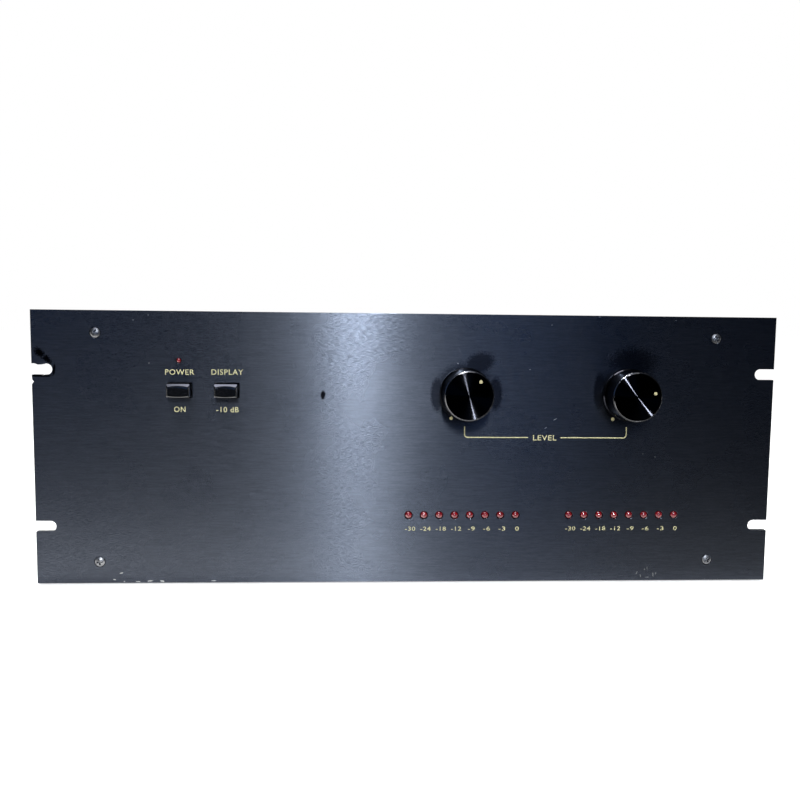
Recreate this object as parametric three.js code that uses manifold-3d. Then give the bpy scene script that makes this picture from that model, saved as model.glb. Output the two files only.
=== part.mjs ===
// Rack-mount stereo power amplifier, in millimetres: +X right, +Y to the rear, +Z up.
// Pieces are placed from the front face and the bottom edge of the front panel, on its centre line.
// The whole group is then moved to stand with its feet on z = 0, under the middle of its own box.

import * as THREE from 'three';
import { mergeVertices } from 'three/addons/utils/BufferGeometryUtils.js';
import Module from 'manifold-3d';

const wasm = await Module();
wasm.setup();

// Driving dimensions
const panelWidth = 482.6;
const panelHeight = 177;
const panelThickness = 4.76;
const earWidth = 25.4;
const chassisDepth = 292.1;
const chassisInset = 4.5;
const sheet = 1.6;
const flangeHeight = 12;
const sinkDepth = 28;
const floorClearance = 1.2;

// Clearances
const seatGap = 0.3;
const runningGap = 0.3;
const slidingGap = 0.4;
const holeGap = 0.5;
const overrun = 2;

// Planes and spaces that follow from them
const chassisWidth = panelWidth - 2 * earWidth;
const chassisHeight = panelHeight - 2 * chassisInset;
const chassisBottom = chassisInset;
const chassisTop = chassisBottom + chassisHeight;
const subPanelFront = panelThickness + seatGap;
const subPanelBack = subPanelFront + sheet;
const rearPanelBack = panelThickness + chassisDepth;
const rearPanelFront = rearPanelBack - sheet;
const insideFront = subPanelBack + seatGap;
const insideBack = rearPanelFront - seatGap;
const insideDepth = insideBack - insideFront;
const insideMiddle = (insideFront + insideBack) / 2;
const insideHalfWidth = chassisWidth / 2 - sinkDepth - seatGap;
const deck = chassisBottom + sheet + seatGap;

// Finishes
const finishes = {
  anodised: { color: 0x16181d, roughness: 0.35, metalness: 0.9 },
  blackPlastic: { color: 0x08080a, roughness: 0.18, metalness: 0 },
  moulded: { color: 0x17171a, roughness: 0.55, metalness: 0 },
  rubber: { color: 0x101010, roughness: 0.9, metalness: 0 },
  paintedSteel: { color: 0x141518, roughness: 0.6, metalness: 0.2 },
  platedSteel: { color: 0xb9bcc0, roughness: 0.35, metalness: 1 },
  brightScrew: { color: 0xd0d2d6, roughness: 0.22, metalness: 1 },
  redLens: { color: 0x8c1c1a, roughness: 0.2, metalness: 0 },
  circuitBoard: { color: 0x2c5a34, roughness: 0.5, metalness: 0 },
  lamination: { color: 0x4a4640, roughness: 0.6, metalness: 0.7 },
  windingWrap: { color: 0xb08a3c, roughness: 0.6, metalness: 0 },
  capacitorSleeve: { color: 0x24406e, roughness: 0.35, metalness: 0 },
  gilt: { color: 0xc9a45a, roughness: 0.25, metalness: 1 },
  redPlastic: { color: 0xa01818, roughness: 0.3, metalness: 0 },
};

// Drawing helpers

function arcPoints(x, y, radius, start, end, steps) {
  const points = [];
  for (let i = 0; i <= steps; i += 1) {
    const angle = start + ((end - start) * i) / steps;
    points.push(new THREE.Vector2(x + radius * Math.cos(angle), y + radius * Math.sin(angle)));
  }
  return points;
}

function circlePoints(x, y, radius, sides) {
  return arcPoints(x, y, radius, 0, 2 * Math.PI, sides).slice(0, sides);
}

function rectanglePoints(x, y, width, height) {
  return [[-1, -1], [1, -1], [1, 1], [-1, 1]].map(
    ([right, up]) => new THREE.Vector2(x + (right * width) / 2, y + (up * height) / 2),
  );
}

function roundedRectanglePoints(x, y, width, height, radius, cornerSteps) {
  const points = [];
  [[1, 1], [-1, 1], [-1, -1], [1, -1]].forEach(([right, up], quarter) => {
    const cornerX = x + right * (width / 2 - radius);
    const cornerY = y + up * (height / 2 - radius);
    const start = (quarter * Math.PI) / 2;
    points.push(...arcPoints(cornerX, cornerY, radius, start, start + Math.PI / 2, cornerSteps));
  });
  return points;
}

// A slot with round ends, its length along y
function slotPoints(x, y, width, length, endSteps) {
  const radius = width / 2;
  const reach = length / 2 - radius;
  return [
    ...arcPoints(x, y + reach, radius, 0, Math.PI, endSteps),
    ...arcPoints(x, y - reach, radius, Math.PI, 2 * Math.PI, endSteps),
  ];
}

// Solid helpers: a closed three.js geometry becomes a solid that can be joined and cut

function toSolid(geometry) {
  const bare = geometry.clone();
  bare.deleteAttribute('normal');
  bare.deleteAttribute('uv');
  const welded = mergeVertices(bare);
  const corners = welded.index.array;
  const triangles = [];
  for (let i = 0; i < corners.length; i += 3) {
    const [a, b, c] = [corners[i], corners[i + 1], corners[i + 2]];
    if (a !== b && b !== c && c !== a) triangles.push(a, b, c);
  }
  return new wasm.Manifold(new wasm.Mesh({
    numProp: 3,
    vertProperties: new Float32Array(welded.attributes.position.array),
    triVerts: new Uint32Array(triangles),
  }));
}

function toGeometry(solid) {
  const mesh = solid.getMesh();
  const geometry = new THREE.BufferGeometry();
  geometry.setAttribute('position', new THREE.BufferAttribute(mesh.vertProperties, mesh.numProp));
  geometry.setIndex(new THREE.BufferAttribute(mesh.triVerts, 1));
  geometry.computeVertexNormals();
  return geometry;
}

function join(first, ...others) {
  return others.reduce((whole, piece) => whole.add(piece), first);
}

function cut(whole, ...tools) {
  return tools.reduce((left, tool) => left.subtract(tool), whole);
}

const alongX = new THREE.Vector3(1, 0, 0);
const alongY = new THREE.Vector3(0, 1, 0);
const alongZ = new THREE.Vector3(0, 0, 1);
const drawnFromFront = new THREE.Matrix4().makeBasis(alongX, alongZ, alongY.clone().negate());
const drawnFromSide = new THREE.Matrix4().makeBasis(alongY, alongZ, alongX);

function extruded(points, from, to) {
  const options = { depth: to - from, bevelEnabled: false, steps: 1 };
  return new THREE.ExtrudeGeometry(new THREE.Shape(points), options).translate(0, 0, from);
}

function pierced(makePrism, points, thickness, holes) {
  const plate = makePrism(points, 0, thickness);
  if (holes.length === 0) return plate;
  return plate.subtract(wasm.Manifold.union(
    holes.map((hole) => makePrism(hole, -overrun, thickness + overrun)),
  ));
}

// Drawn in x and z as seen from the front, and as thick as given from y = 0 to the rear
function plateFacingFront(points, thickness, holes = []) {
  const makePrism = (outline, front, back) => toSolid(
    extruded(outline, -back, -front).applyMatrix4(drawnFromFront),
  );
  return pierced(makePrism, points, thickness, holes);
}

// Drawn in x and y, and as thick as given from z = 0 up
function plateFacingUp(points, thickness, holes = []) {
  const makePrism = (outline, low, high) => toSolid(extruded(outline, low, high));
  return pierced(makePrism, points, thickness, holes);
}

function block(width, depth, height, x = 0, y = 0, z = 0) {
  return toSolid(new THREE.BoxGeometry(width, depth, height).translate(x, y, z + height / 2));
}

// Profiles are [radius, place along the axis] pairs that go from the axis, round the outside and
// back to the axis, with the axis point of lower place first
function turned(profile, sides) {
  const points = profile.map(([radius, place]) => new THREE.Vector2(radius, place));
  return new THREE.LatheGeometry(points, sides);
}

function turnedAlongY(profile, sides) {
  return toSolid(turned(profile, sides));
}

function turnedAlongZ(profile, sides) {
  return toSolid(turned(profile, sides).rotateX(Math.PI / 2));
}

function turnedAlongX(profile, sides) {
  return toSolid(turned(profile, sides).rotateZ(-Math.PI / 2));
}

const amplifier = new THREE.Group();

function addPiece(name, solid, finish, x, y, z) {
  const mesh = new THREE.Mesh(toGeometry(solid), new THREE.MeshStandardMaterial(finishes[finish]));
  mesh.name = name;
  mesh.position.set(x, y, z);
  amplifier.add(mesh);
  return mesh;
}

// Places on the front panel. Heights are measured down from its top edge for the controls and up from
// its bottom edge for the meters, and widths in from its nearer end.
const knobDrop = 51.6;
const rightKnobInset = 98.2;
const knobSpacing = 107.6;
const leftKnobTurn = THREE.MathUtils.degToRad(38);
const rightKnobTurn = THREE.MathUtils.degToRad(78);
const buttonDrop = 50.4;
const powerButtonInset = 92.9;
const buttonSpacing = 30;
const lampDrop = 31.5;
const lampInset = 92.4;
const meterHeight = 44.85;
const meterPitch = 10.16;
const meterCount = 8;
const meterEndInset = 63.94;
const meterRowGap = 35.78;
const panelScrewInsetX = 14.7;
const panelScrewInsetZ = 14.2;

const knobHeight = panelHeight - knobDrop;
const rightKnobX = panelWidth / 2 - rightKnobInset;
const levelControls = [
  { side: 'left', x: rightKnobX - knobSpacing, turn: leftKnobTurn },
  { side: 'right', x: rightKnobX, turn: rightKnobTurn },
];
const buttonHeight = panelHeight - buttonDrop;
const powerButtonX = powerButtonInset - panelWidth / 2;
const pushButtons = [{ use: 'power', x: powerButtonX }, { use: 'display', x: powerButtonX + buttonSpacing }];
const lampHeight = panelHeight - lampDrop;
const lampX = lampInset - panelWidth / 2;
const meterRowLength = (meterCount - 1) * meterPitch;
const rightMeterX = panelWidth / 2 - meterEndInset - meterRowLength / 2;
const meterRows = [
  { side: 'left', x: rightMeterX - meterRowGap - meterRowLength },
  { side: 'right', x: rightMeterX },
];

const meterPlaces = meterRows.flatMap(({ side, x }) => {
  const first = x - meterRowLength / 2;
  return Array.from({ length: meterCount }, (_, i) => ({ side, index: i + 1, x: first + i * meterPitch }));
});
const panelScrewPlaces = [
  { corner: 'lower_left', right: -1, up: -1 },
  { corner: 'lower_right', right: 1, up: -1 },
  { corner: 'upper_left', right: -1, up: 1 },
  { corner: 'upper_right', right: 1, up: 1 },
].map(({ corner, right, up }) => ({
  corner,
  x: right * (chassisWidth / 2 - panelScrewInsetX),
  z: panelHeight / 2 + up * (panelHeight / 2 - panelScrewInsetZ),
}));

// Light-emitting diodes: a dome on a barrel with a flange, on two stiff leads
const meterLamp = {
  radius: 2.5, flangeRadius: 2.9, flangeThickness: 1, bodyLength: 8.6, proud: 1.3, sides: 8, domeSteps: 2,
};
const powerLamp = {
  radius: 1.45, flangeRadius: 1.9, flangeThickness: 0.8, bodyLength: 8, proud: 1, sides: 8, domeSteps: 2,
};
const leadLength = 3;
const leadWidth = 0.6;
const leadSpacing = 2.54;
const leadSink = 0.2;

function lampSolid(lamp, leadReach) {
  const shoulder = lamp.radius - lamp.proud;
  const back = lamp.bodyLength - lamp.proud;
  const dome = arcPoints(0, shoulder, lamp.radius, -Math.PI / 2, 0, lamp.domeSteps);
  const body = turnedAlongY([
    ...dome.map((point) => [Math.max(point.x, 0), point.y]).map(
      ([radius, place], i) => (i === 0 ? [0, place] : [radius, place]),
    ),
    [lamp.radius, back - lamp.flangeThickness],
    [lamp.flangeRadius, back - lamp.flangeThickness],
    [lamp.flangeRadius, back],
    [0, back],
  ], lamp.sides);
  const leads = [-1, 1].map((side) => block(
    leadWidth, leadReach + leadSink, leadWidth,
    (side * leadSpacing) / 2, back - leadSink + (leadReach + leadSink) / 2, -leadWidth / 2,
  ));
  return join(body, ...leads);
}

// Front panel: open-ended rack slots, countersunk screws, holes for lamps, buttons and bushings
const rackSlotSpacing = 101.6;
const rackSlotHeight = 7.1;
const rackSlotDepth = 12.9;
const rackSlotSteps = 6;
const screwHeadRadius = 3.4;
const screwShankRadius = 1.75;
const screwHeadDepth = 1.9;
const screwHeadDome = 0.7;
const screwShoulderShare = 0.75;
const screwRim = 0.15;
const screwGap = 0.25;
const screwTail = 2.4;
const screwSides = 12;
const bushingRadius = 4.75;
const bushingSides = 16;
const buttonWidth = 14.4;
const buttonFaceHeight = 8.5;
const buttonCorner = 0.6;
const lampHoleSides = 8;

function rackEdgePoints() {
  const points = [new THREE.Vector2(panelWidth / 2, 0)];
  [-1, 1].forEach((up) => {
    const z = (panelHeight + up * rackSlotSpacing) / 2;
    const radius = rackSlotHeight / 2;
    const endX = panelWidth / 2 - rackSlotDepth + radius;
    points.push(new THREE.Vector2(panelWidth / 2, z - radius));
    points.push(...arcPoints(endX, z, radius, -Math.PI / 2, (-3 * Math.PI) / 2, rackSlotSteps));
    points.push(new THREE.Vector2(panelWidth / 2, z + radius));
  });
  points.push(new THREE.Vector2(panelWidth / 2, panelHeight));
  return points;
}

function countersink() {
  const radius = screwHeadRadius + screwGap;
  const shank = screwShankRadius + screwGap;
  return turnedAlongY([
    [0, -overrun],
    [radius, -overrun],
    [radius, screwRim],
    [shank, screwHeadDepth],
    [shank, panelThickness + overrun],
    [0, panelThickness + overrun],
  ], screwSides);
}

function buttonHole() {
  return { width: buttonWidth + 2 * slidingGap, height: buttonFaceHeight + 2 * slidingGap };
}

function controlHoles(extra) {
  const { width, height } = buttonHole();
  const bushingHole = bushingRadius + seatGap;
  return [
    ...pushButtons.map(({ x }) => rectanglePoints(x, buttonHeight, width + 2 * extra, height + 2 * extra)),
    ...levelControls.map(({ x }) => circlePoints(x, knobHeight, bushingHole + extra, bushingSides)),
    circlePoints(lampX, lampHeight, powerLamp.radius + slidingGap + extra, lampHoleSides),
  ];
}

function frontPanelSolid() {
  const right = rackEdgePoints();
  const left = right.map(({ x, y }) => new THREE.Vector2(-x, y)).reverse();
  const lampHoles = meterPlaces.map(
    ({ x }) => circlePoints(x, meterHeight, meterLamp.radius + slidingGap, lampHoleSides),
  );
  const plate = plateFacingFront([...right, ...left], panelThickness, [...controlHoles(0), ...lampHoles]);
  return cut(plate, ...panelScrewPlaces.map(({ x, z }) => countersink().translate([x, 0, z])));
}

addPiece('front_panel', frontPanelSolid(), 'anodised', 0, 0, 0);

// Panel screws: oval countersunk heads, their tails through the sub panel
function panelScrewSolid() {
  const tail = subPanelBack + screwTail;
  return turnedAlongY([
    [0, -screwHeadDome],
    [screwHeadRadius / 2, -screwHeadDome * screwShoulderShare],
    [screwHeadRadius, 0],
    [screwHeadRadius, screwRim],
    [screwShankRadius, screwHeadDepth],
    [screwShankRadius, tail],
    [0, tail],
  ], screwSides);
}

panelScrewPlaces.forEach(({ corner, x, z }) => {
  addPiece(`${corner}_panel_screw`, panelScrewSolid(), 'brightScrew', x, 0, z);
});

// Sub panel: the steel front wall of the chassis, with one punched window for every four meter lamps
const subPanelExtra = 0.4;
const lampsPerWindow = 4;

function meterWindows() {
  const reach = meterLamp.flangeRadius + subPanelExtra;
  return meterRows.flatMap(({ x }) => {
    const windowCount = meterCount / lampsPerWindow;
    return Array.from({ length: windowCount }, (_, i) => rectanglePoints(
      x + (i - (windowCount - 1) / 2) * lampsPerWindow * meterPitch,
      meterHeight,
      (lampsPerWindow - 1) * meterPitch + 2 * reach,
      2 * reach,
    ));
  });
}

function subPanelSolid() {
  const shank = screwShankRadius + screwGap;
  return plateFacingFront(rectanglePoints(0, panelHeight / 2, chassisWidth, chassisHeight), sheet, [
    ...controlHoles(subPanelExtra),
    ...meterWindows(),
    ...panelScrewPlaces.map(({ x, z }) => circlePoints(x, z, shank, screwSides)),
  ]);
}

addPiece('sub_panel', subPanelSolid(), 'platedSteel', 0, subPanelFront, 0);

// Lamps
addPiece('power_led', lampSolid(powerLamp, leadLength), 'redLens', lampX, 0, lampHeight);
meterPlaces.forEach(({ side, index, x }) => {
  addPiece(`${side}_meter_led_${index}`, lampSolid(meterLamp, leadLength), 'redLens', x, 0, meterHeight);
});

// Meter board: carries the sixteen lamps on its front and stands off the sub panel on spacers
const boardThickness = 1.6;
const meterBoardMargin = 3.6;
const meterBoardHeight = 28;
const meterSpacerRadius = 3;
const meterSpacerSides = 6;
const meterSpacerDrop = 9;

function meterBoardSolid(width, spacerLength) {
  const plate = plateFacingFront(rectanglePoints(0, 0, width, meterBoardHeight), boardThickness)
    .translate([0, spacerLength, 0]);
  const spacer = [
    [0, 0],
    [meterSpacerRadius, 0],
    [meterSpacerRadius, spacerLength + boardThickness / 2],
    [0, spacerLength + boardThickness / 2],
  ];
  const reach = width / 2 - meterSpacerRadius;
  const places = [-reach, 0, reach].flatMap((x) => [[x, -meterSpacerDrop], [x, meterSpacerDrop]]);
  return join(plate, ...places.map(([x, z]) => turnedAlongY(spacer, meterSpacerSides).translate([x, 0, z])));
}

const meterLeadEnd = meterLamp.bodyLength - meterLamp.proud + leadLength;
const meterBoardFront = meterLeadEnd + seatGap;
const meterBoardLeft = meterPlaces[0].x - meterBoardMargin;
const meterBoardRight = meterPlaces[meterPlaces.length - 1].x + meterBoardMargin;
addPiece(
  'meter_board',
  meterBoardSolid(meterBoardRight - meterBoardLeft, meterBoardFront - insideFront),
  'circuitBoard',
  (meterBoardLeft + meterBoardRight) / 2, insideFront, meterHeight,
);

// Push-buttons: a dished cap and its stem, which runs into the switch behind the sub panel
const buttonProud = 8;
const buttonTravel = 3.5;
const buttonDish = 1.1;
const buttonRim = 0.9;
const buttonBevel = 0.7;
const buttonDishSteps = 6;
const stemWidth = 5;
const stemHeight = 4;
const stemReach = 20;

// Side view of the dished cap in y and z: the finger face is hollowed by one shallow arc
function buttonSolid() {
  const back = insideFront - buttonTravel - slidingGap;
  const half = buttonFaceHeight / 2;
  const dishHalf = half - buttonRim;
  const dishRadius = (dishHalf * dishHalf + buttonDish * buttonDish) / (2 * buttonDish);
  const reach = Math.asin(dishHalf / dishRadius);
  const dishCentre = buttonDish - buttonProud - dishRadius;
  const dish = arcPoints(dishCentre, 0, dishRadius, -reach, reach, buttonDishSteps);
  const outline = [
    new THREE.Vector2(back, -half),
    new THREE.Vector2(back, half),
    new THREE.Vector2(buttonBevel - buttonProud, half),
    new THREE.Vector2(-buttonProud, half - buttonBevel),
    ...dish.reverse(),
    new THREE.Vector2(-buttonProud, buttonBevel - half),
    new THREE.Vector2(buttonBevel - buttonProud, -half),
  ];
  const side = toSolid(extruded(outline, -buttonWidth / 2, buttonWidth / 2).applyMatrix4(drawnFromSide));
  const plan = plateFacingUp([
    new THREE.Vector2(-buttonWidth / 2, back),
    new THREE.Vector2(-buttonWidth / 2, buttonBevel - buttonProud),
    new THREE.Vector2(buttonCorner - buttonWidth / 2, -buttonProud),
    new THREE.Vector2(buttonWidth / 2 - buttonCorner, -buttonProud),
    new THREE.Vector2(buttonWidth / 2, buttonBevel - buttonProud),
    new THREE.Vector2(buttonWidth / 2, back),
  ], buttonFaceHeight).translate([0, 0, -half]);
  const stemStart = back - overrun;
  const stemMiddle = (stemReach + stemStart) / 2;
  const stem = block(stemWidth, stemReach - stemStart, stemHeight, 0, stemMiddle, -stemHeight / 2);
  return join(side.intersect(plan), stem);
}

// Switches: a housing on a flange, with a blind channel for the stem and solder lugs behind
const switchWidth = 16;
const switchHeight = 12;
const switchFlangeWidth = 24;
const switchFlangeHeight = 14;
const switchFlangeThickness = 2;
const switchLength = 34;
const switchLugCount = 3;
const switchLugPitch = 5;
const switchLugWidth = 2.4;
const switchLugThickness = 0.8;
const switchLugLength = 6;
const switchLugDrop = 3;

function switchSolid() {
  const flange = plateFacingFront(
    rectanglePoints(0, 0, switchFlangeWidth, switchFlangeHeight), switchFlangeThickness,
  );
  const housing = block(switchWidth, switchLength, switchHeight, 0, switchLength / 2, -switchHeight / 2);
  const channelEnd = stemReach + buttonTravel + slidingGap - insideFront;
  const channelDepth = channelEnd + overrun;
  const channel = block(
    stemWidth + 2 * slidingGap, channelDepth, stemHeight + 2 * slidingGap,
    0, channelEnd - channelDepth / 2, -stemHeight / 2 - slidingGap,
  );
  const lugs = Array.from({ length: switchLugCount }, (_, i) => {
    const x = (i - (switchLugCount - 1) / 2) * switchLugPitch;
    return [-switchLugDrop, switchLugDrop].map((z) => block(
      switchLugWidth, switchLugLength + leadSink, switchLugThickness,
      x, switchLength + (switchLugLength - leadSink) / 2, z - switchLugThickness / 2,
    ));
  }).flat();
  return cut(join(flange, housing, ...lugs), channel);
}

pushButtons.forEach(({ use, x }) => {
  addPiece(`${use}_button`, buttonSolid(), 'blackPlastic', x, 0, buttonHeight);
  addPiece(`${use}_switch`, switchSolid(), 'moulded', x, insideFront, buttonHeight);
});

// Level knobs: turned, with a raised rim round the face, a slight skirt, a hollow back and a sunk index
// dot, which stands at the angle that the knob is turned to
const knobBack = 1.2;
const knobLength = 19.6;
const knobRimRadius = 15.9;
const knobSideRadius = 16.2;
const knobSkirtRadius = 17.1;
const knobSkirtHeight = 2.6;
const knobSkirtSlope = 1;
const knobChamfer = 0.8;
const knobFaceRadius = 14;
const knobFaceSink = 0.5;
const knobRimSlope = 0.3;
const knobHollowRadius = 12;
const knobHollowDepth = 8.2;
const knobBossRadius = 6.5;
const knobBossSink = 3.8;
const knobSides = 26;
const dotPlaceShare = 0.83;
const dotRadius = 1.15;
const dotDepth = 0.4;
const dotSides = 8;
const shaftRadius = 3.175;
const shaftSides = 16;
const shaftIntoKnob = 10;

function knobSolid(turn) {
  const face = -knobBack - knobLength;
  const boreRadius = shaftRadius + runningGap;
  const bossBack = -knobBack - knobBossSink;
  const dot = turnedAlongY([
    [0, face - overrun],
    [dotRadius, face - overrun],
    [dotRadius, face + knobFaceSink + dotDepth],
    [0, face + knobFaceSink + dotDepth],
  ], dotSides);
  const dotPlace = knobFaceRadius * dotPlaceShare;
  const knob = turnedAlongY([
    [0, face + knobFaceSink],
    [knobFaceRadius, face + knobFaceSink],
    [knobFaceRadius + knobRimSlope, face],
    [knobRimRadius - knobChamfer, face],
    [knobRimRadius, face + knobChamfer],
    [knobSideRadius, -knobBack - knobSkirtHeight - knobSkirtSlope],
    [knobSkirtRadius, -knobBack - knobSkirtHeight],
    [knobSkirtRadius, -knobBack],
    [knobHollowRadius, -knobBack],
    [knobHollowRadius, -knobBack - knobHollowDepth],
    [knobBossRadius, -knobBack - knobHollowDepth],
    [knobBossRadius, bossBack],
    [boreRadius, bossBack],
    [boreRadius, bossBack - shaftIntoKnob],
    [0, bossBack - shaftIntoKnob],
  ], knobSides);
  return cut(knob, dot.translate([dotPlace * Math.sin(turn), 0, dotPlace * Math.cos(turn)]));
}

// Level potentiometers: a can on a threaded bushing that passes both panels, with its nut in front
const bushingProud = 4;
const potRadius = 12;
const potLength = 14;
const potCrimp = 0.8;
const potSides = 12;
const potNutAcross = 14;
const potNutThickness = 2.4;
const shaftIntoPot = 8;
const shaftEndGap = 0.4;
const hexSides = 6;

function potSolid() {
  const boreRadius = shaftRadius + runningGap;
  const boreEnd = insideFront + shaftIntoPot + shaftEndGap;
  const canEnd = insideFront + potLength;
  const outer = turnedAlongY([
    [0, -bushingProud],
    [bushingRadius, -bushingProud],
    [bushingRadius, insideFront],
    [potRadius, insideFront],
    [potRadius, canEnd - potCrimp],
    [potRadius - potCrimp, canEnd],
    [0, canEnd],
  ], potSides);
  const nut = turnedAlongY([
    [0, -seatGap - potNutThickness],
    [potNutAcross / Math.sqrt(3), -seatGap - potNutThickness],
    [potNutAcross / Math.sqrt(3), -seatGap],
    [0, -seatGap],
  ], hexSides);
  const bore = turnedAlongY([
    [0, -bushingProud - overrun],
    [boreRadius, -bushingProud - overrun],
    [boreRadius, boreEnd],
    [0, boreEnd],
  ], potSides);
  return cut(join(outer, nut), bore);
}

function shaftSolid() {
  const front = -knobBack - knobBossSink - shaftIntoKnob + shaftEndGap;
  const back = insideFront + shaftIntoPot;
  return turnedAlongY([[0, front], [shaftRadius, front], [shaftRadius, back], [0, back]], shaftSides);
}

levelControls.forEach(({ side, x, turn }) => {
  addPiece(`${side}_level_knob`, knobSolid(turn), 'anodised', x, 0, knobHeight);
  addPiece(`${side}_level_shaft`, shaftSolid(), 'platedSteel', x, 0, knobHeight);
  addPiece(`${side}_level_pot`, potSolid(), 'platedSteel', x, 0, knobHeight);
});

// Bottom pan and top cover: the same folded tray, with rows of ventilation slots
const ventWidth = 4;
const ventPitch = 14;
const ventEndSteps = 2;
const ventRowGap = 24;
const ventEndMargin = 42;
const coverVentCount = 20;
const panVentCount = 6;

function traySolid(ventCount) {
  const width = 2 * insideHalfWidth;
  const ventLength = (insideDepth - 2 * ventEndMargin - ventRowGap) / 2;
  const rowY = (ventLength + ventRowGap) / 2;
  const vents = [];
  for (let i = 0; i < ventCount; i += 1) {
    const x = (i - (ventCount - 1) / 2) * ventPitch;
    vents.push(slotPoints(x, -rowY, ventWidth, ventLength, ventEndSteps));
    vents.push(slotPoints(x, rowY, ventWidth, ventLength, ventEndSteps));
  }
  const outline = rectanglePoints(0, 0, width, insideDepth);
  const floor = plateFacingUp(outline, sheet, vents);
  const walls = plateFacingUp(outline, flangeHeight, [
    rectanglePoints(0, 0, width - 2 * sheet, insideDepth - 2 * sheet),
  ]);
  return join(floor, walls);
}

addPiece('chassis_pan', traySolid(panVentCount), 'paintedSteel', 0, insideMiddle, chassisBottom);
const coverTray = traySolid(coverVentCount);
const topCover = addPiece('top_cover', coverTray, 'paintedSteel', 0, insideMiddle, chassisTop);
topCover.rotation.y = Math.PI;

// Feet: tapered rubber, each with a well for its screw
const footTopRadius = 11;
const footSoleRadius = 9.5;
const footWellRadius = 4;
const footWellDepth = 3.2;
const footSides = 16;
const footInset = 32;
const footSetback = 34;

function footSolid() {
  const height = chassisBottom + floorClearance - seatGap;
  return turnedAlongZ([
    [0, footWellDepth],
    [footWellRadius, footWellDepth],
    [footWellRadius, 0],
    [footSoleRadius, 0],
    [footTopRadius, height],
    [0, height],
  ], footSides);
}

[
  { place: 'front_left', right: -1, back: -1 },
  { place: 'front_right', right: 1, back: -1 },
  { place: 'rear_left', right: -1, back: 1 },
  { place: 'rear_right', right: 1, back: 1 },
].forEach(({ place, right, back }) => {
  const x = right * (insideHalfWidth - footInset);
  const y = insideMiddle + back * (insideDepth / 2 - footSetback);
  addPiece(`${place}_foot`, footSolid(), 'rubber', x, y, -floorClearance);
});

// Heat sinks: one extrusion with tapered fins, filleted at the root, and power transistors in cans
const sinkBase = 6;
const finCount = 20;
const finRootHalf = 1.5;
const finTipHalf = 0.9;
const finFillet = 0.9;
const finNose = 0.6;
const finEndMargin = 9;
const sinkShortfall = 3;
const canCount = 4;
const canPitch = 58;
const canHeightShare = 0.62;
const canFlangeRadius = 13;
const canFlangeThickness = 1.6;
const canRadius = 10.5;
const canLength = 8;
const canSides = 10;

function sinkSolid() {
  const half = insideDepth / 2;
  const pitch = (insideDepth - 2 * finEndMargin) / (finCount - 1);
  const outline = [
    new THREE.Vector2(0, half),
    new THREE.Vector2(0, -half),
    new THREE.Vector2(sinkBase, -half),
  ];
  for (let i = 0; i < finCount; i += 1) {
    const y = finEndMargin - half + i * pitch;
    outline.push(
      new THREE.Vector2(sinkBase, y - finRootHalf - finFillet),
      new THREE.Vector2(sinkBase + finFillet, y - finRootHalf),
      new THREE.Vector2(sinkDepth - finNose, y - finTipHalf),
      new THREE.Vector2(sinkDepth, y),
      new THREE.Vector2(sinkDepth - finNose, y + finTipHalf),
      new THREE.Vector2(sinkBase + finFillet, y + finRootHalf),
      new THREE.Vector2(sinkBase, y + finRootHalf + finFillet),
    );
  }
  outline.push(new THREE.Vector2(sinkBase, half));
  const height = chassisHeight - 2 * sinkShortfall;
  const can = [
    [0, -canFlangeThickness - canLength],
    [canRadius, -canFlangeThickness - canLength],
    [canRadius, -canFlangeThickness],
    [canFlangeRadius, -canFlangeThickness],
    [canFlangeRadius, leadSink],
    [0, leadSink],
  ];
  const cans = Array.from({ length: canCount }, (_, i) => turnedAlongX(can, canSides)
    .translate([0, (i - (canCount - 1) / 2) * canPitch, height * canHeightShare]));
  return join(plateFacingUp(outline, height), ...cans);
}

[{ side: 'left', right: -1 }, { side: 'right', right: 1 }].forEach(({ side, right }) => {
  const x = right * (chassisWidth / 2 - sinkDepth);
  const z = chassisBottom + sinkShortfall;
  const sink = addPiece(`${side}_heatsink`, sinkSolid(), 'anodised', x, insideMiddle, z);
  sink.rotation.z = right > 0 ? 0 : Math.PI;
});

// Transformer: a laminated core with two windows, and the coil round its middle leg
const coreWidth = 150;
const coreHeight = 125;
const coreStack = 76;
const coreWindowWidth = 25;
const coreYokeShare = 0.2;
const coilWrap = 20;
const coilCorner = 6;
const coilCornerSteps = 3;
const coreFootReach = 14;
const coreFootThickness = 3;

const coreYoke = coreHeight * coreYokeShare;
const coreMiddleLeg = (coreWidth - 2 * coreWindowWidth) / 2;
const coreWindowX = (coreMiddleLeg + coreWindowWidth) / 2;
const coilInnerDepth = coreStack + 2 * seatGap;
const coilDepth = coilInnerDepth + 2 * coilWrap;

function coreSolid() {
  const windows = [-1, 1].map((side) => rectanglePoints(
    side * coreWindowX, coreHeight / 2, coreWindowWidth, coreHeight - 2 * coreYoke,
  ));
  const laminations = plateFacingFront(
    rectanglePoints(0, coreHeight / 2, coreWidth, coreHeight), coreStack, windows,
  ).translate([0, -coreStack / 2, 0]);
  return join(laminations, block(coreWidth + 2 * coreFootReach, coreStack, coreFootThickness));
}

function coilSolid() {
  const innerWidth = coreMiddleLeg + 2 * seatGap;
  const outerWidth = coreMiddleLeg + 2 * coreWindowWidth - 2 * seatGap;
  return plateFacingUp(
    roundedRectanglePoints(0, 0, outerWidth, coilDepth, coilCorner, coilCornerSteps),
    coreHeight - 2 * coreYoke - 2 * seatGap,
    [rectanglePoints(0, 0, innerWidth, coilInnerDepth)],
  );
}


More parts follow.
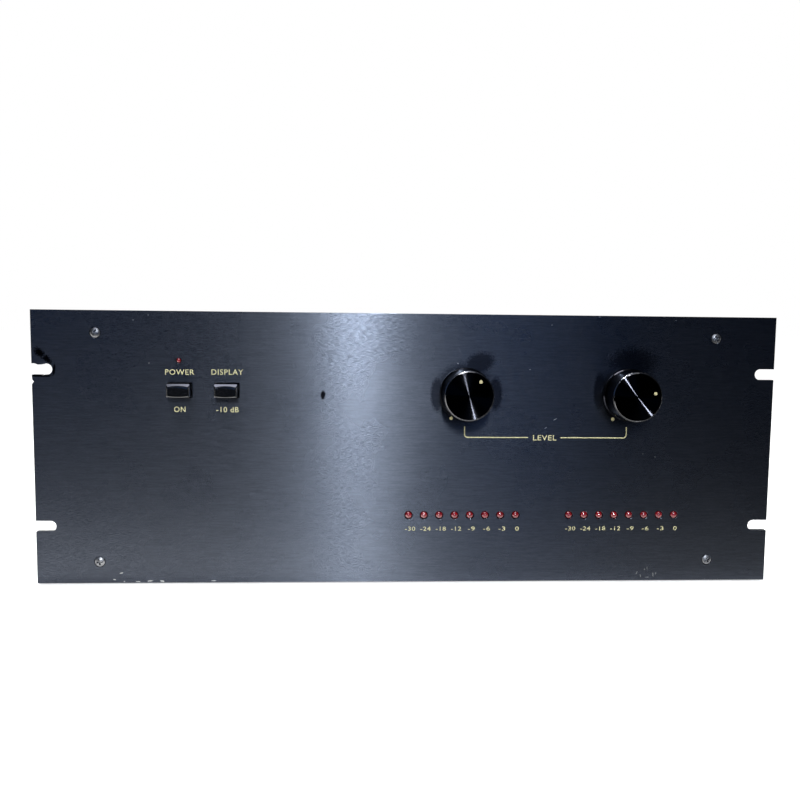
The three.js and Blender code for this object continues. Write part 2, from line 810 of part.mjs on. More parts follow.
// Filter capacitors: sleeved cans with a rolled rim and screw terminals, held by one bridge clamp
const capacitorRadius = 31.75;
const capacitorHeight = 105;
const capacitorRoll = 1.2;
const capacitorGroove = 8;
const capacitorTopSink = 2.5;
const capacitorRimWidth = 3;
const capacitorSides = 16;
const capacitorGap = 12.5;
const terminalRadius = 4.5;
const terminalHeight = 5;
const terminalSides = 8;
const terminalSpacing = 28;
const clampHeight = 34;
const clampSideMargin = 4.25;
const clampRim = 3.25;
const clampFoot = 11;
const clampSheet = 1.5;

const capacitorSpacing = 2 * capacitorRadius + capacitorGap;
const clampWidth = capacitorSpacing + 2 * (capacitorRadius + clampSideMargin);
const clampDepth = 2 * (capacitorRadius + clampRim);

function capacitorSolid() {
  const top = capacitorHeight;
  const can = turnedAlongZ([
    [0, 0],
    [capacitorRadius, 0],
    [capacitorRadius, top - capacitorGroove - capacitorRoll],
    [capacitorRadius - capacitorRoll, top - capacitorGroove],
    [capacitorRadius, top - capacitorGroove + capacitorRoll],
    [capacitorRadius, top - capacitorRoll],
    [capacitorRadius - capacitorRoll, top],
    [capacitorRadius - capacitorRimWidth, top],
    [capacitorRadius - capacitorRimWidth, top - capacitorTopSink],
    [0, top - capacitorTopSink],
  ], capacitorSides);
  const post = [
    [0, top - capacitorTopSink - leadSink],
    [terminalRadius, top - capacitorTopSink - leadSink],
    [terminalRadius, top + terminalHeight],
    [0, top + terminalHeight],
  ];
  const posts = [-1, 1].map((side) => turnedAlongZ(post, terminalSides)
    .translate([(side * terminalSpacing) / 2, 0, 0]));
  return join(can, ...posts);
}

function clampSolid() {
  const half = clampWidth / 2;
  const outline = [
    [half + clampFoot, 0], [half + clampFoot, clampSheet], [half, clampSheet], [half, clampHeight],
    [-half, clampHeight], [-half, clampSheet], [-half - clampFoot, clampSheet], [-half - clampFoot, 0],
    [-half + clampSheet, 0], [-half + clampSheet, clampHeight - clampSheet],
    [half - clampSheet, clampHeight - clampSheet], [half - clampSheet, 0],
  ].map(([x, z]) => new THREE.Vector2(x, z));
  const bridge = plateFacingFront(outline, clampDepth).translate([0, -clampDepth / 2, 0]);
  const radius = capacitorRadius + seatGap;
  const hole = [
    [0, clampHeight - clampSheet - overrun],
    [radius, clampHeight - clampSheet - overrun],
    [radius, clampHeight + overrun],
    [0, clampHeight + overrun],
  ];
  return cut(bridge, ...[-1, 1].map((side) => turnedAlongZ(hole, capacitorSides)
    .translate([(side * capacitorSpacing) / 2, 0, 0])));
}

// Bridge rectifier: a square block with a corner cut to show its polarity, and four blade lugs
const rectifierWidth = 28.6;
const rectifierHeight = 11;
const rectifierNotch = 5;
const bladeSpacing = 17;
const bladeWidth = 6.3;
const bladeThickness = 0.8;
const bladeHeight = 11;

function rectifierSolid() {
  const half = rectifierWidth / 2;
  const body = plateFacingUp([
    new THREE.Vector2(-half, -half),
    new THREE.Vector2(half, -half),
    new THREE.Vector2(half, half - rectifierNotch),
    new THREE.Vector2(half - rectifierNotch, half),
    new THREE.Vector2(-half, half),
  ], rectifierHeight);
  const blades = [[-1, -1], [1, -1], [1, 1], [-1, 1]].map(([right, back]) => block(
    bladeThickness, bladeWidth, bladeHeight + leadSink,
    (right * bladeSpacing) / 2, (back * bladeSpacing) / 2, rectifierHeight - leadSink,
  ));
  return join(body, ...blades);
}

// The supply stands in a row on the middle of the pan, and shares of the room left between its pieces
// set the row out from the front
const roomAheadShare = 0.43;
const roomBehindCoilShare = 0.2;
const roomBehindClampShare = 0.11;
const supplyRoom = insideDepth - coilDepth - clampDepth - rectifierWidth;
const coilFront = insideFront + supplyRoom * roomAheadShare;
const clampFront = coilFront + coilDepth + supplyRoom * roomBehindCoilShare;
const rectifierFront = clampFront + clampDepth + supplyRoom * roomBehindClampShare;
const transformerY = coilFront + coilDepth / 2;
const capacitorY = clampFront + clampDepth / 2;

addPiece('transformer_core', coreSolid(), 'lamination', 0, transformerY, deck);
addPiece('transformer_winding', coilSolid(), 'windingWrap', 0, transformerY, deck + coreYoke + seatGap);
[{ side: 'left', right: -1 }, { side: 'right', right: 1 }].forEach(({ side, right }) => {
  const x = (right * capacitorSpacing) / 2;
  addPiece(`${side}_filter_capacitor`, capacitorSolid(), 'capacitorSleeve', x, capacitorY, deck);
});
addPiece('capacitor_clamp', clampSolid(), 'platedSteel', 0, capacitorY, deck);
addPiece('bridge_rectifier', rectifierSolid(), 'moulded', 0, rectifierFront + rectifierWidth / 2, deck);

// Amplifier boards: each on four standoffs, with a relay, drivers' resistors and electrolytics
const ampBoardOuterMargin = 13;
const ampBoardInnerMargin = 7.6;
const ampBoardFrontMargin = 60;
const ampBoardBackMargin = 38;
const standoffRadius = 3.5;
const standoffHeight = 10;
const standoffInset = 7;
const relayWidth = 28;
const relayDepth = 22;
const relayHeight = 24;
const relayBackShare = 0.36;
const resistorWidth = 9;
const resistorDepth = 26;
const resistorHeight = 9;
const resistorCount = 4;
const resistorPitch = 34;
const resistorSideShare = 0.3;
const smallCanRadius = 8;
const smallCanHeight = 26;
const smallCanSides = 8;
const smallCanPlaceShares = [[-0.25, -0.36], [-0.25, -0.22], [0, -0.36], [-0.25, 0.1]];

const ampBoardOuter = insideHalfWidth - ampBoardOuterMargin;
const ampBoardWidth = ampBoardOuter - ampBoardInnerMargin - coreFootReach - coreWidth / 2;
const ampBoardDepth = insideDepth - ampBoardFrontMargin - ampBoardBackMargin;
const ampBoardY = insideMiddle + (ampBoardFrontMargin - ampBoardBackMargin) / 2;

function ampBoardSolid() {
  const top = standoffHeight + boardThickness;
  const root = top - boardThickness / 2;
  const plate = plateFacingUp(rectanglePoints(0, 0, ampBoardWidth, ampBoardDepth), boardThickness)
    .translate([0, 0, standoffHeight]);
  const standoff = [[0, 0], [standoffRadius, 0], [standoffRadius, root], [0, root]];
  const standoffX = ampBoardWidth / 2 - standoffInset;
  const standoffY = ampBoardDepth / 2 - standoffInset;
  const standoffs = [[-1, -1], [1, -1], [1, 1], [-1, 1]].map(
    ([right, back]) => turnedAlongZ(standoff, hexSides).translate([right * standoffX, back * standoffY, 0]),
  );
  const relay = block(relayWidth, relayDepth, relayHeight, 0, ampBoardDepth * relayBackShare, root);
  const resistors = Array.from({ length: resistorCount }, (_, i) => block(
    resistorWidth, resistorDepth, resistorHeight,
    ampBoardWidth * resistorSideShare, (i - (resistorCount - 1) / 2) * resistorPitch, root,
  ));
  const smallCan = [
    [0, root], [smallCanRadius, root], [smallCanRadius, root + smallCanHeight], [0, root + smallCanHeight],
  ];
  const smallCans = smallCanPlaceShares.map(
    ([acrossShare, alongShare]) => turnedAlongZ(smallCan, smallCanSides)
      .translate([ampBoardWidth * acrossShare, ampBoardDepth * alongShare, 0]),
  );
  return join(plate, ...standoffs, relay, ...resistors, ...smallCans);
}

[{ side: 'left', right: -1 }, { side: 'right', right: 1 }].forEach(({ side, right }) => {
  const x = right * (ampBoardOuter - ampBoardWidth / 2);
  addPiece(`${side}_amp_board`, ampBoardSolid(), 'circuitBoard', x, ampBoardY, deck);
});

// Places on the rear panel, with widths measured in from the nearer side of the chassis
const inputJackDrop = 52;
const inputJackSpacing = 40;
const postHeight = 60;
const postPitch = 19.05;
const rightPostsInset = 105.9;
const postPairSpacing = 65;
const inletInset = 80.9;
const inletHeight = 50;
const fuseSpacing = 50;
const fuseHeight = 50;

const inputJackHeight = panelHeight - inputJackDrop;
const inputJacks = [{ side: 'left', x: -inputJackSpacing / 2 }, { side: 'right', x: inputJackSpacing / 2 }];
const rightPostsX = chassisWidth / 2 - rightPostsInset;
const leftPostsX = rightPostsX - postPairSpacing;
const inletX = inletInset - chassisWidth / 2;
const fuseX = inletX + fuseSpacing;
const bindingPosts = [
  { name: 'left_negative_post', x: leftPostsX, finish: 'moulded' },
  { name: 'left_positive_post', x: leftPostsX + postPitch, finish: 'redPlastic' },
  { name: 'right_negative_post', x: rightPostsX, finish: 'moulded' },
  { name: 'right_positive_post', x: rightPostsX + postPitch, finish: 'redPlastic' },
];

// Phono input jacks: a flange outside, a barrel with its socket, and a threaded tail inside
const jackFlangeRadius = 7;
const jackFlangeThickness = 2;
const jackBarrelRadius = 4.15;
const jackBarrelLength = 9;
const jackSocketRadius = 1.65;
const jackSocketDepth = 8;
const jackTailRadius = 4.6;
const jackTailLength = 9;
const jackNutRadius = 6.4;
const jackNutThickness = 2.2;
const jackSides = 10;

// Places along y are measured from the outside of the rear panel
function jackSolid() {
  const flangeBack = seatGap + jackFlangeThickness;
  const nutFront = -sheet - seatGap;
  return turnedAlongY([
    [0, -sheet - jackTailLength],
    [jackTailRadius, -sheet - jackTailLength],
    [jackTailRadius, nutFront - jackNutThickness],
    [jackNutRadius, nutFront - jackNutThickness],
    [jackNutRadius, nutFront],
    [jackTailRadius, nutFront],
    [jackTailRadius, seatGap],
    [jackFlangeRadius, seatGap],
    [jackFlangeRadius, flangeBack],
    [jackBarrelRadius, flangeBack],
    [jackBarrelRadius, flangeBack + jackBarrelLength],
    [jackSocketRadius, flangeBack + jackBarrelLength],
    [jackSocketRadius, flangeBack + jackBarrelLength - jackSocketDepth],
    [0, flangeBack + jackBarrelLength - jackSocketDepth],
  ], jackSides);
}

inputJacks.forEach(({ side, x }) => {
  addPiece(`${side}_input_jack`, jackSolid(), 'gilt', x, rearPanelBack, inputJackHeight);
});

// Binding posts: an insulated collar, a waist for bare wire, and a cap with a plug socket
const postCollarRadius = 7.5;
const postCollarLength = 5;
const postWaistRadius = 3;
const postWaistLength = 2.5;
const postCapRadius = 6.5;
const postCapLength = 16;
const postCapChamfer = 0.8;
const postSocketRadius = 2;
const postSocketDepth = 14;
const postStudRadius = 2.5;
const postStudLength = 12;
const postNutRadius = 6;
const postNutThickness = 3;
const postSides = 10;

function postSolid() {
  const nutFront = -sheet - seatGap;
  const collarBack = seatGap + postCollarLength;
  const capFront = collarBack + postWaistLength;
  const capBack = capFront + postCapLength;
  return turnedAlongY([
    [0, -sheet - postStudLength],
    [postStudRadius, -sheet - postStudLength],
    [postStudRadius, nutFront - postNutThickness],
    [postNutRadius, nutFront - postNutThickness],
    [postNutRadius, nutFront],
    [postStudRadius, nutFront],
    [postStudRadius, seatGap],
    [postCollarRadius, seatGap],
    [postCollarRadius, collarBack],
    [postWaistRadius, collarBack],
    [postWaistRadius, capFront],
    [postCapRadius, capFront],
    [postCapRadius, capBack - postCapChamfer],
    [postCapRadius - postCapChamfer, capBack],
    [postSocketRadius, capBack],
    [postSocketRadius, capBack - postSocketDepth],
    [0, capBack - postSocketDepth],
  ], postSides);
}

bindingPosts.forEach(({ name, x, finish }) => {
  addPiece(name, postSolid(), finish, x, rearPanelBack, postHeight);
});

// Mains inlet: a flange outside, a body through the panel, and a cavity with three pins
const inletFlangeWidth = 50;
const inletFlangeHeight = 24;
const inletFlangeThickness = 3;
const inletFlangeCorner = 3;
const inletCornerSteps = 3;
const inletWall = 1.8;
const inletBodyDepth = 22;
const inletCavityWidth = 24.2;
const inletCavityHeight = 16.8;
const inletCavityDepth = 17;
const inletCavityCut = 4.5;
const inletPinWidth = 2;
const inletPinHeight = 4;
const inletPinLength = 10;
const inletPinPitch = 7;
const inletPinOffset = 2;

const inletBodyWidth = inletCavityWidth + 2 * inletWall;
const inletBodyHeight = inletCavityHeight + 2 * inletWall;

function inletSolid() {
  const face = seatGap + inletFlangeThickness;
  const flange = plateFacingFront(roundedRectanglePoints(
    0, 0, inletFlangeWidth, inletFlangeHeight, inletFlangeCorner, inletCornerSteps,
  ), inletFlangeThickness).translate([0, seatGap, 0]);
  const bodyDepth = inletBodyDepth + sheet + seatGap + leadSink;
  const body = block(
    inletBodyWidth, bodyDepth, inletBodyHeight,
    0, seatGap + leadSink - bodyDepth / 2, -inletBodyHeight / 2,
  );
  const halfWidth = inletCavityWidth / 2;
  const halfHeight = inletCavityHeight / 2;
  const cavity = plateFacingFront([
    new THREE.Vector2(-halfWidth, -halfHeight),
    new THREE.Vector2(halfWidth, -halfHeight),
    new THREE.Vector2(halfWidth, halfHeight - inletCavityCut),
    new THREE.Vector2(halfWidth - inletCavityCut, halfHeight),
    new THREE.Vector2(inletCavityCut - halfWidth, halfHeight),
    new THREE.Vector2(-halfWidth, halfHeight - inletCavityCut),
  ], inletCavityDepth + overrun).translate([0, face - inletCavityDepth, 0]);
  const pinLength = inletPinLength + leadSink;
  const pins = [[-1, -1], [0, 1], [1, -1]].map(([right, up]) => block(
    inletPinWidth, pinLength, inletPinHeight,
    right * inletPinPitch, face - inletCavityDepth - leadSink + pinLength / 2,
    up * inletPinOffset - inletPinHeight / 2,
  ));
  return join(cut(join(flange, body), cavity), ...pins);
}

addPiece('mains_inlet', inletSolid(), 'moulded', inletX, rearPanelBack, inletHeight);

// Line fuse holder: a cap with a coin slot outside, the tube and its nut inside
const fuseTubeRadius = 6.2;
const fuseTubeLength = 30;
const fuseNutRadius = 9;
const fuseNutThickness = 3;
const fuseFlangeRadius = 8.5;
const fuseFlangeThickness = 2;
const fuseCapRadius = 6.6;
const fuseCapLength = 9;
const fuseSlotWidth = 1.6;
const fuseSlotDepth = 2;
const fuseSides = 12;

function fuseHolderSolid() {
  const nutFront = -sheet - seatGap;
  const flangeBack = seatGap + fuseFlangeThickness;
  const capBack = flangeBack + fuseCapLength;
  const body = turnedAlongY([
    [0, -sheet - fuseTubeLength],
    [fuseTubeRadius, -sheet - fuseTubeLength],
    [fuseTubeRadius, nutFront - fuseNutThickness],
    [fuseNutRadius, nutFront - fuseNutThickness],
    [fuseNutRadius, nutFront],
    [fuseTubeRadius, nutFront],
    [fuseTubeRadius, seatGap],
    [fuseFlangeRadius, seatGap],
    [fuseFlangeRadius, flangeBack],
    [fuseCapRadius, flangeBack],
    [fuseCapRadius, capBack],
    [0, capBack],
  ], fuseSides);
  const slotLength = 2 * fuseCapRadius + 2 * overrun;
  const slotDepth = fuseSlotDepth + overrun;
  const slot = block(
    slotLength, slotDepth, fuseSlotWidth, 0, capBack - fuseSlotDepth + slotDepth / 2, -fuseSlotWidth / 2,
  );
  return cut(body, slot);
}

addPiece('line_fuse_holder', fuseHolderSolid(), 'moulded', fuseX, rearPanelBack, fuseHeight);

// Rear panel: one flat sheet with a hole for each fitting
const rearHoleSides = 12;

function rearPanelSolid() {
  const holes = [
    ...inputJacks.map(({ x }) => circlePoints(x, inputJackHeight, jackTailRadius + holeGap, rearHoleSides)),
    ...bindingPosts.map(({ x }) => circlePoints(x, postHeight, postStudRadius + holeGap, rearHoleSides)),
    circlePoints(fuseX, fuseHeight, fuseTubeRadius + holeGap, rearHoleSides),
    rectanglePoints(inletX, inletHeight, inletBodyWidth + 2 * seatGap, inletBodyHeight + 2 * seatGap),
  ];
  return plateFacingFront(rectanglePoints(0, panelHeight / 2, chassisWidth, chassisHeight), sheet, holes);
}

addPiece('rear_panel', rearPanelSolid(), 'paintedSteel', 0, rearPanelFront, 0);

// The finished group stands on its feet under the middle of its box
const frontReach = knobBack + knobLength;
const rearReach = rearPanelBack + seatGap + postCollarLength + postWaistLength + postCapLength;
amplifier.position.set(0, (frontReach - rearReach) / 2, floorClearance);

export default amplifier;
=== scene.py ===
"""Looks of a rack-mounted stereo power amplifier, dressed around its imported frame.

Lengths are in metres, in the frame's own axes: the front panel faces -Y, up is +Z.
"""

import functools
import logging
import math
from dataclasses import dataclass, field
from enum import Enum
from typing import Callable, Iterable, Optional, Sequence, Union

import bmesh
import bpy
from bpy.types import Material, Mesh, Node, NodeSocket, NodeTree, Object
from mathutils import Euler, Matrix, Vector


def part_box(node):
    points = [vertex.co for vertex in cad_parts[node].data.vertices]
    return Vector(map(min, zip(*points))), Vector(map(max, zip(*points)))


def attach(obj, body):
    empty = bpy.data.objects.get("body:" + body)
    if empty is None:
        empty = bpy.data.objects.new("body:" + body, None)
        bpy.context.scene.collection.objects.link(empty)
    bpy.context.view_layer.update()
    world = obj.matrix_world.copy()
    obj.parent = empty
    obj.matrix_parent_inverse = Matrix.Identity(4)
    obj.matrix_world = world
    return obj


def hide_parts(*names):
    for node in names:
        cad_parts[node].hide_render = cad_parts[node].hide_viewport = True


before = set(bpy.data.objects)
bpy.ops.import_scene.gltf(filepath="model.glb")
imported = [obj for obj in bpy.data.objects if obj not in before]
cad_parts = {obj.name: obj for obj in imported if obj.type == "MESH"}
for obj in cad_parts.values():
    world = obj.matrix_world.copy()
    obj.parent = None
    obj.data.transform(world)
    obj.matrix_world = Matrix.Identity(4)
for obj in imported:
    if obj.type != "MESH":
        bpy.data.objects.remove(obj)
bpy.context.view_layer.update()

MM = 0.001
DEGREE = math.radians(1)
SMOOTH = 32 * DEGREE  # an edge that turns by less is shaded smooth
LEVEL = 0.99999  # a face whose normal rises or falls more is level and stays flat
BOLD = 0.008  # how far print spreads, as a share of a capital's height
LETTER_SPACE = 1.12
DUST = (0.3, 0.29, 0.27)
CHASSIS = "chassis"
SIDES = ("left", "right")
BUTTONS = ("power", "display")
KNOB_TURNS = {"left": 38 * DEGREE, "right": 78 * DEGREE}  # of each knob's dot from the top
BEYOND = 1 * MM  # how far a tool reaches past what it cuts
Point = tuple[float, float]
Place = tuple[float, float, float]
Colour = tuple[float, float, float]
Value = Union[float, int, bool, str, tuple, NodeSocket]
Sockets = bpy.types.bpy_prop_collection
Flutes = Callable[[float, float, float], float]
log = logging.getLogger("amplifier")


class Slot(Enum):
    """Material slots of the record."""

    PANEL = "panel_anodised"
    KNOB = "knob_anodised"
    SINK = "heatsink_anodised"
    SCREW = "bright_screw"
    PLATED = "plated_steel"
    PAINT = "painted_steel"
    GLOSS = "black_plastic"
    MOULDED = "moulded_black"
    RED = "red_plastic"
    LENS = "red_lens"
    RUBBER = "foot_rubber"
    GILT = "gilt"


class Facing(Enum):
    """How a flat or turned shape, drawn in X and Y with its height along Z, is stood up."""

    UP = Matrix.Identity(3)
    FRONT = Matrix(((1, 0, 0), (0, 0, -1), (0, 1, 0)))
    REAR = Matrix(((-1, 0, 0), (0, 0, 1), (0, 1, 0)))
    DOWN = Matrix(((1, 0, 0), (0, -1, 0), (0, 0, -1)))


class Lie(Enum):
    """The two axes that a flat card spans."""

    LEVEL = (0, 1)
    UPRIGHT = (0, 2)
    SIDEWAYS = (1, 2)


class Carve(Enum):
    """What a solid does to another."""

    CUT = "DIFFERENCE"
    JOIN = "UNION"


@dataclass(frozen=True)
class Box:
    """Lowest and highest corner of one or more nodes of the frame."""

    low: Vector
    high: Vector

    @classmethod
    def of(cls, *nodes: str) -> "Box":
        """Box that holds the named nodes.

        Args:
            nodes: their names.

        Returns:
            The box.
        """
        corners = [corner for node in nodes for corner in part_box(node)]
        return cls(
            Vector(min(corner[i] for corner in corners) for i in range(3)),
            Vector(max(corner[i] for corner in corners) for i in range(3)),
        )

    @property
    def middle(self) -> Vector:
        """Centre of the box."""
        return (self.low + self.high) / 2

    @property
    def size(self) -> Vector:
        """Width, depth and height of the box."""
        return self.high - self.low


# Mesh helpers


def new_piece(name: str, mesh: Mesh) -> Object:
    """Links an object for a mesh, at the origin.

    Args:
        name: the piece's name.
        mesh: its data.

    Returns:
        The new object.
    """
    piece = bpy.data.objects.new(name, mesh)
    bpy.context.scene.collection.objects.link(piece)
    return piece


def mesh_of(shape: bmesh.types.BMesh, name: str) -> Mesh:
    """Makes a mesh of a bmesh.

    Args:
        shape: the geometry, which is freed.
        name: the mesh's name.

    Returns:
        The mesh.
    """
    mesh = bpy.data.meshes.new(name)
    shape.to_mesh(mesh)
    shape.free()
    return mesh


def finished(shape: bmesh.types.BMesh, name: str, smooth: float = SMOOTH) -> Object:
    """Turns a bmesh into a piece: doubles merged, faces outwards, soft edges smooth, level faces flat.

    Args:
        shape: the geometry, which is freed.
        name: the piece's name.
        smooth: edges that turn by less than this angle are shaded smooth.

    Returns:
        The new object.
    """
    bmesh.ops.remove_doubles(shape, verts=shape.verts, dist=0.0005 * MM)
    bmesh.ops.dissolve_degenerate(shape, edges=shape.edges, dist=0.0001 * MM)
    bmesh.ops.recalc_face_normals(shape, faces=shape.faces)
    for edge in shape.edges:
        edge.smooth = len(edge.link_faces) == 2 and edge.calc_face_angle(math.pi) < smooth
    for face in shape.faces:
        face.smooth = abs(face.normal.z) < LEVEL
    return new_piece(name, mesh_of(shape, name))


def settled(source: Object, smooth: float = SMOOTH) -> Object:
    """Replaces an object with modifiers, text or a curve by the plain mesh that it makes.

    Args:
        source: the object, which is removed.
        smooth: the angle that finished() takes.

    Returns:
        The plain object, under the same name.
    """
    graph = bpy.context.evaluated_depsgraph_get()
    mesh = bpy.data.meshes.new_from_object(source.evaluated_get(graph))
    shape = bmesh.new()
    shape.from_mesh(mesh)
    name = source.name
    bpy.data.objects.remove(source)
    bpy.data.meshes.remove(mesh)
    return finished(shape, name, smooth)


def stood(piece: Object, facing: Facing, place: Sequence[float]) -> Object:
    """Turns a mesh to face a way and moves its points to a place; the object stays at the origin."""
    piece.data.transform(Matrix.Translation(Vector(place)) @ facing.value.to_4x4())
    return piece


def joined(name: str, parts: Iterable[Object]) -> Object:
    """Puts several pieces of one finish into one mesh.

    Args:
        name: the new piece's name.
        parts: the objects, which are removed.

    Returns:
        The new object.
    """
    shape = bmesh.new()
    for part in list(parts):
        shape.from_mesh(part.data)
        bpy.data.objects.remove(part)
    return new_piece(name, mesh_of(shape, name))


def carved(piece: Object, tool: Object, how: Carve = Carve.CUT, smooth: float = SMOOTH) -> Object:
    """Cuts a closed tool out of a closed piece, or joins it on.

    Args:
        piece: the solid that stays.
        tool: the other solid, which is removed.
        how: cut or join.
        smooth: the angle that finished() takes.

    Returns:
        The changed solid, under the piece's name.
    """
    modifier = piece.modifiers.new("carve", "BOOLEAN")
    modifier.operation = how.value
    modifier.solver = "EXACT"
    modifier.object = tool
    result = settled(piece, smooth)
    bpy.data.objects.remove(tool)
    return result


def arc(middle: Point, radius: float, start: float, end: float, steps: int) -> list[Point]:
    """Points of an arc, angles in degrees."""
    turns = [DEGREE * (start + (end - start) * i / steps) for i in range(steps + 1)]
    return [(middle[0] + radius * math.cos(turn), middle[1] + radius * math.sin(turn)) for turn in turns]


def circle(middle: Point, radius: float, sides: int = 48) -> list[Point]:
    """Outline of a circle."""
    return arc(middle, radius, 0, 360, sides)[:-1]


def rectangle(middle: Point, width: float, height: float, corner: float = 0, steps: int = 4) -> list[Point]:
    """Outline of a rectangle.

    Args:
        middle: its centre.
        width: along X.
        height: along Y.
        corner: radius of its corners, or 0 for sharp ones.
        steps: facets of a round corner.

    Returns:
        The points, anticlockwise.
    """
    points: list[Point] = []
    for start, right, up in ((0, 1, 1), (90, -1, 1), (180, -1, -1), (270, 1, -1)):
        x = middle[0] + right * (width / 2 - corner)
        y = middle[1] + up * (height / 2 - corner)
        points += arc((x, y), corner, start, start + 90, steps) if corner else [(x, y)]
    return points


def turned(
    name: str,
    profile: Sequence[Point],
    sides: int = 64,
    flutes: Flutes = lambda radius, height, turn: radius,
    smooth: float = SMOOTH,
) -> Object:
    """Turns a profile of radius and height round the Z axis into a closed solid.

    Args:
        name: the piece's name.
        profile: points that start and end on the axis, or else close on themselves.
        sides: facets round the axis.
        flutes: changes a radius by its height and angle, for knurls and flutes.
        smooth: the angle that finished() takes.

    Returns:
        The new object.
    """
    shape = bmesh.new()
    rings = []
    for radius, height in profile:
        ring = []
        for i in range(sides if radius else 1):
            turn = math.tau * i / sides
            reach = flutes(radius, height, turn) if radius else 0
            ring.append(shape.verts.new((reach * math.cos(turn), reach * math.sin(turn), height)))
        rings.append(ring)
    pairs = list(zip(rings, rings[1:]))
    if profile[0][0] and profile[-1][0]:
        pairs.append((rings[-1], rings[0]))
    for low, high in pairs:
        for i in range(sides if len(low) + len(high) > 2 else 0):
            j = (i + 1) % sides
            loop = [low[i % len(low)], low[j % len(low)], high[j % len(high)], high[i % len(high)]]
            shape.faces.new(list(dict.fromkeys(loop)))
    return finished(shape, name, smooth)


def sawn(
    name: str, outlines: Sequence[Sequence[Point]], thickness: float, edge: float = 0, top: float = 0,
) -> Object:
    """Plate that is cut to an outline with holes in it.

    Args:
        name: the piece's name.
        outlines: the outer outline and the holes.
        thickness: of the plate.
        edge: width of the broken edge on both faces.
        top: height of its front, from which it goes down.

    Returns:
        The new object.
    """
    drawing = bpy.data.curves.new(name, "CURVE")
    drawing.dimensions = "2D"
    drawing.fill_mode = "BOTH"
    drawing.extrude = thickness / 2 - edge
    drawing.bevel_depth = edge
    drawing.bevel_resolution = 1
    drawing.offset = -edge
    for outline in outlines:
        line = drawing.splines.new("POLY")
        line.points.add(len(outline) - 1)
        for point, (x, y) in zip(line.points, outline):
            point.co = (x, y, 0, 1)
        line.use_cyclic_u = True
    plate = settled(new_piece(name, drawing), 20 * DEGREE)
    return stood(plate, Facing.UP, (0, 0, top - thickness / 2))


def lettered(
    name: str, words: str, height: float, width: float, middle: Point, print_depth: float,
) -> Object:
    """Printed words as a thin mesh, drawn in X and Y.

    Args:
        name: the piece's name.
        words: what is printed.
        height: of a capital.
        width: of the whole line, or 0 for the letters' own width.
        middle: centre of the line.
        print_depth: thickness of the print.

    Returns:
        The new object, its letters between the height 0 and -print_depth.
    """
    text = bpy.data.curves.new(name, "FONT")
    text.body = words
    text.size = height
    text.extrude = print_depth / 2
    text.offset = height * BOLD
    text.space_character = LETTER_SPACE
    text.resolution_u = 4
    piece = settled(new_piece(name, text))
    points = [vertex.co for vertex in piece.data.vertices]
    low = [min(point[i] for point in points) for i in (0, 1)]
    high = [max(point[i] for point in points) for i in (0, 1)]
    tall = height / (high[1] - low[1])
    wide = width / (high[0] - low[0]) if width else tall
    centre = Matrix.Translation((-(low[0] + high[0]) / 2, -(low[1] + high[1]) / 2, -print_depth / 2))
    piece.data.transform(centre)
    piece.data.transform(Matrix.Diagonal((wide, tall, 1, 1)))
    return stood(piece, Facing.UP, (*middle, 0))


# Node trees


class Tree:
    """Adds nodes to a shader or geometry tree and joins them by the names of their sockets."""

    def __init__(self, tree: NodeTree) -> None:
        """Keeps the tree."""
        self.tree = tree

    def set(self, socket: NodeSocket, value: Value) -> None:
        """Links a socket to another or sets its value.

        Args:
            socket: the input.
            value: an output, a number, a vector, or a colour without its alpha.
        """
        if isinstance(value, NodeSocket):
            self.tree.links.new(value, socket)
        elif isinstance(value, tuple) and len(value) == 3 and socket.type == "RGBA":
            socket.default_value = (*value, 1)
        else:
            socket.default_value = value

    def node(self, kind: str, inputs: Optional[dict] = None, **settings: Value) -> Node:
        """Adds one node.

        Args:
            kind: the node's type.
            inputs: what goes into its sockets, by name or number.
            settings: its other properties.

        Returns:
            The node.
        """
        node = self.tree.nodes.new(kind)
        for name, value in settings.items():
            setattr(node, name, value)
        for name, value in (inputs or {}).items():
            self.set(node.inputs[name], value)
        return node

    def out(self, kind: str, inputs: Optional[dict] = None, **settings: Value) -> NodeSocket:
        """First output of a new node."""
        return self.node(kind, inputs, **settings).outputs[0]

    def maths(self, operation: str, *values: Value, clamp: bool = False) -> NodeSocket:
        """Result of a Math node."""
        return self.out("ShaderNodeMath", dict(enumerate(values)), operation=operation, use_clamp=clamp)

    def times(self, first: Value, second: Value, clamp: bool = False) -> NodeSocket:
        """Product of two values."""
        return self.maths("MULTIPLY", first, second, clamp=clamp)

    def stretch(
        self, value: Value, low: Value, high: Value, to_low: Value = 0.0, to_high: Value = 1.0,
    ) -> NodeSocket:
        """Result of a Map Range node."""
        inputs = {"Value": value, "From Min": low, "From Max": high, "To Min": to_low, "To Max": to_high}
        return self.out("ShaderNodeMapRange", inputs)

    def blend(self, share: Value, first: Value, second: Value) -> NodeSocket:
        """Result of a colour Mix node."""
        return self.node("ShaderNodeMix", {0: share, 6: first, 7: second}, data_type="RGBA").outputs[2]

    def noise(self, vector: Value, scale: Value, detail: float = 2, rough: float = 0.5) -> NodeSocket:
        """Value of a Noise Texture node."""
        inputs = {"Vector": vector, "Scale": scale, "Detail": detail, "Roughness": rough}
        return self.out("ShaderNodeTexNoise", inputs)

    def vectors(self, operation: str, *values: Value) -> Node:
        """Vector Math node."""
        return self.node("ShaderNodeVectorMath", dict(enumerate(values)), operation=operation)


def blank_material(name: str) -> tuple[Material, Tree]:
    """Makes a material without nodes.

    Args:
        name: its name.

    Returns:
        The material and its tree.
    """
    material = bpy.data.materials.new(name)
    material.use_nodes = True
    material.node_tree.nodes.clear()
    return material, Tree(material.node_tree)


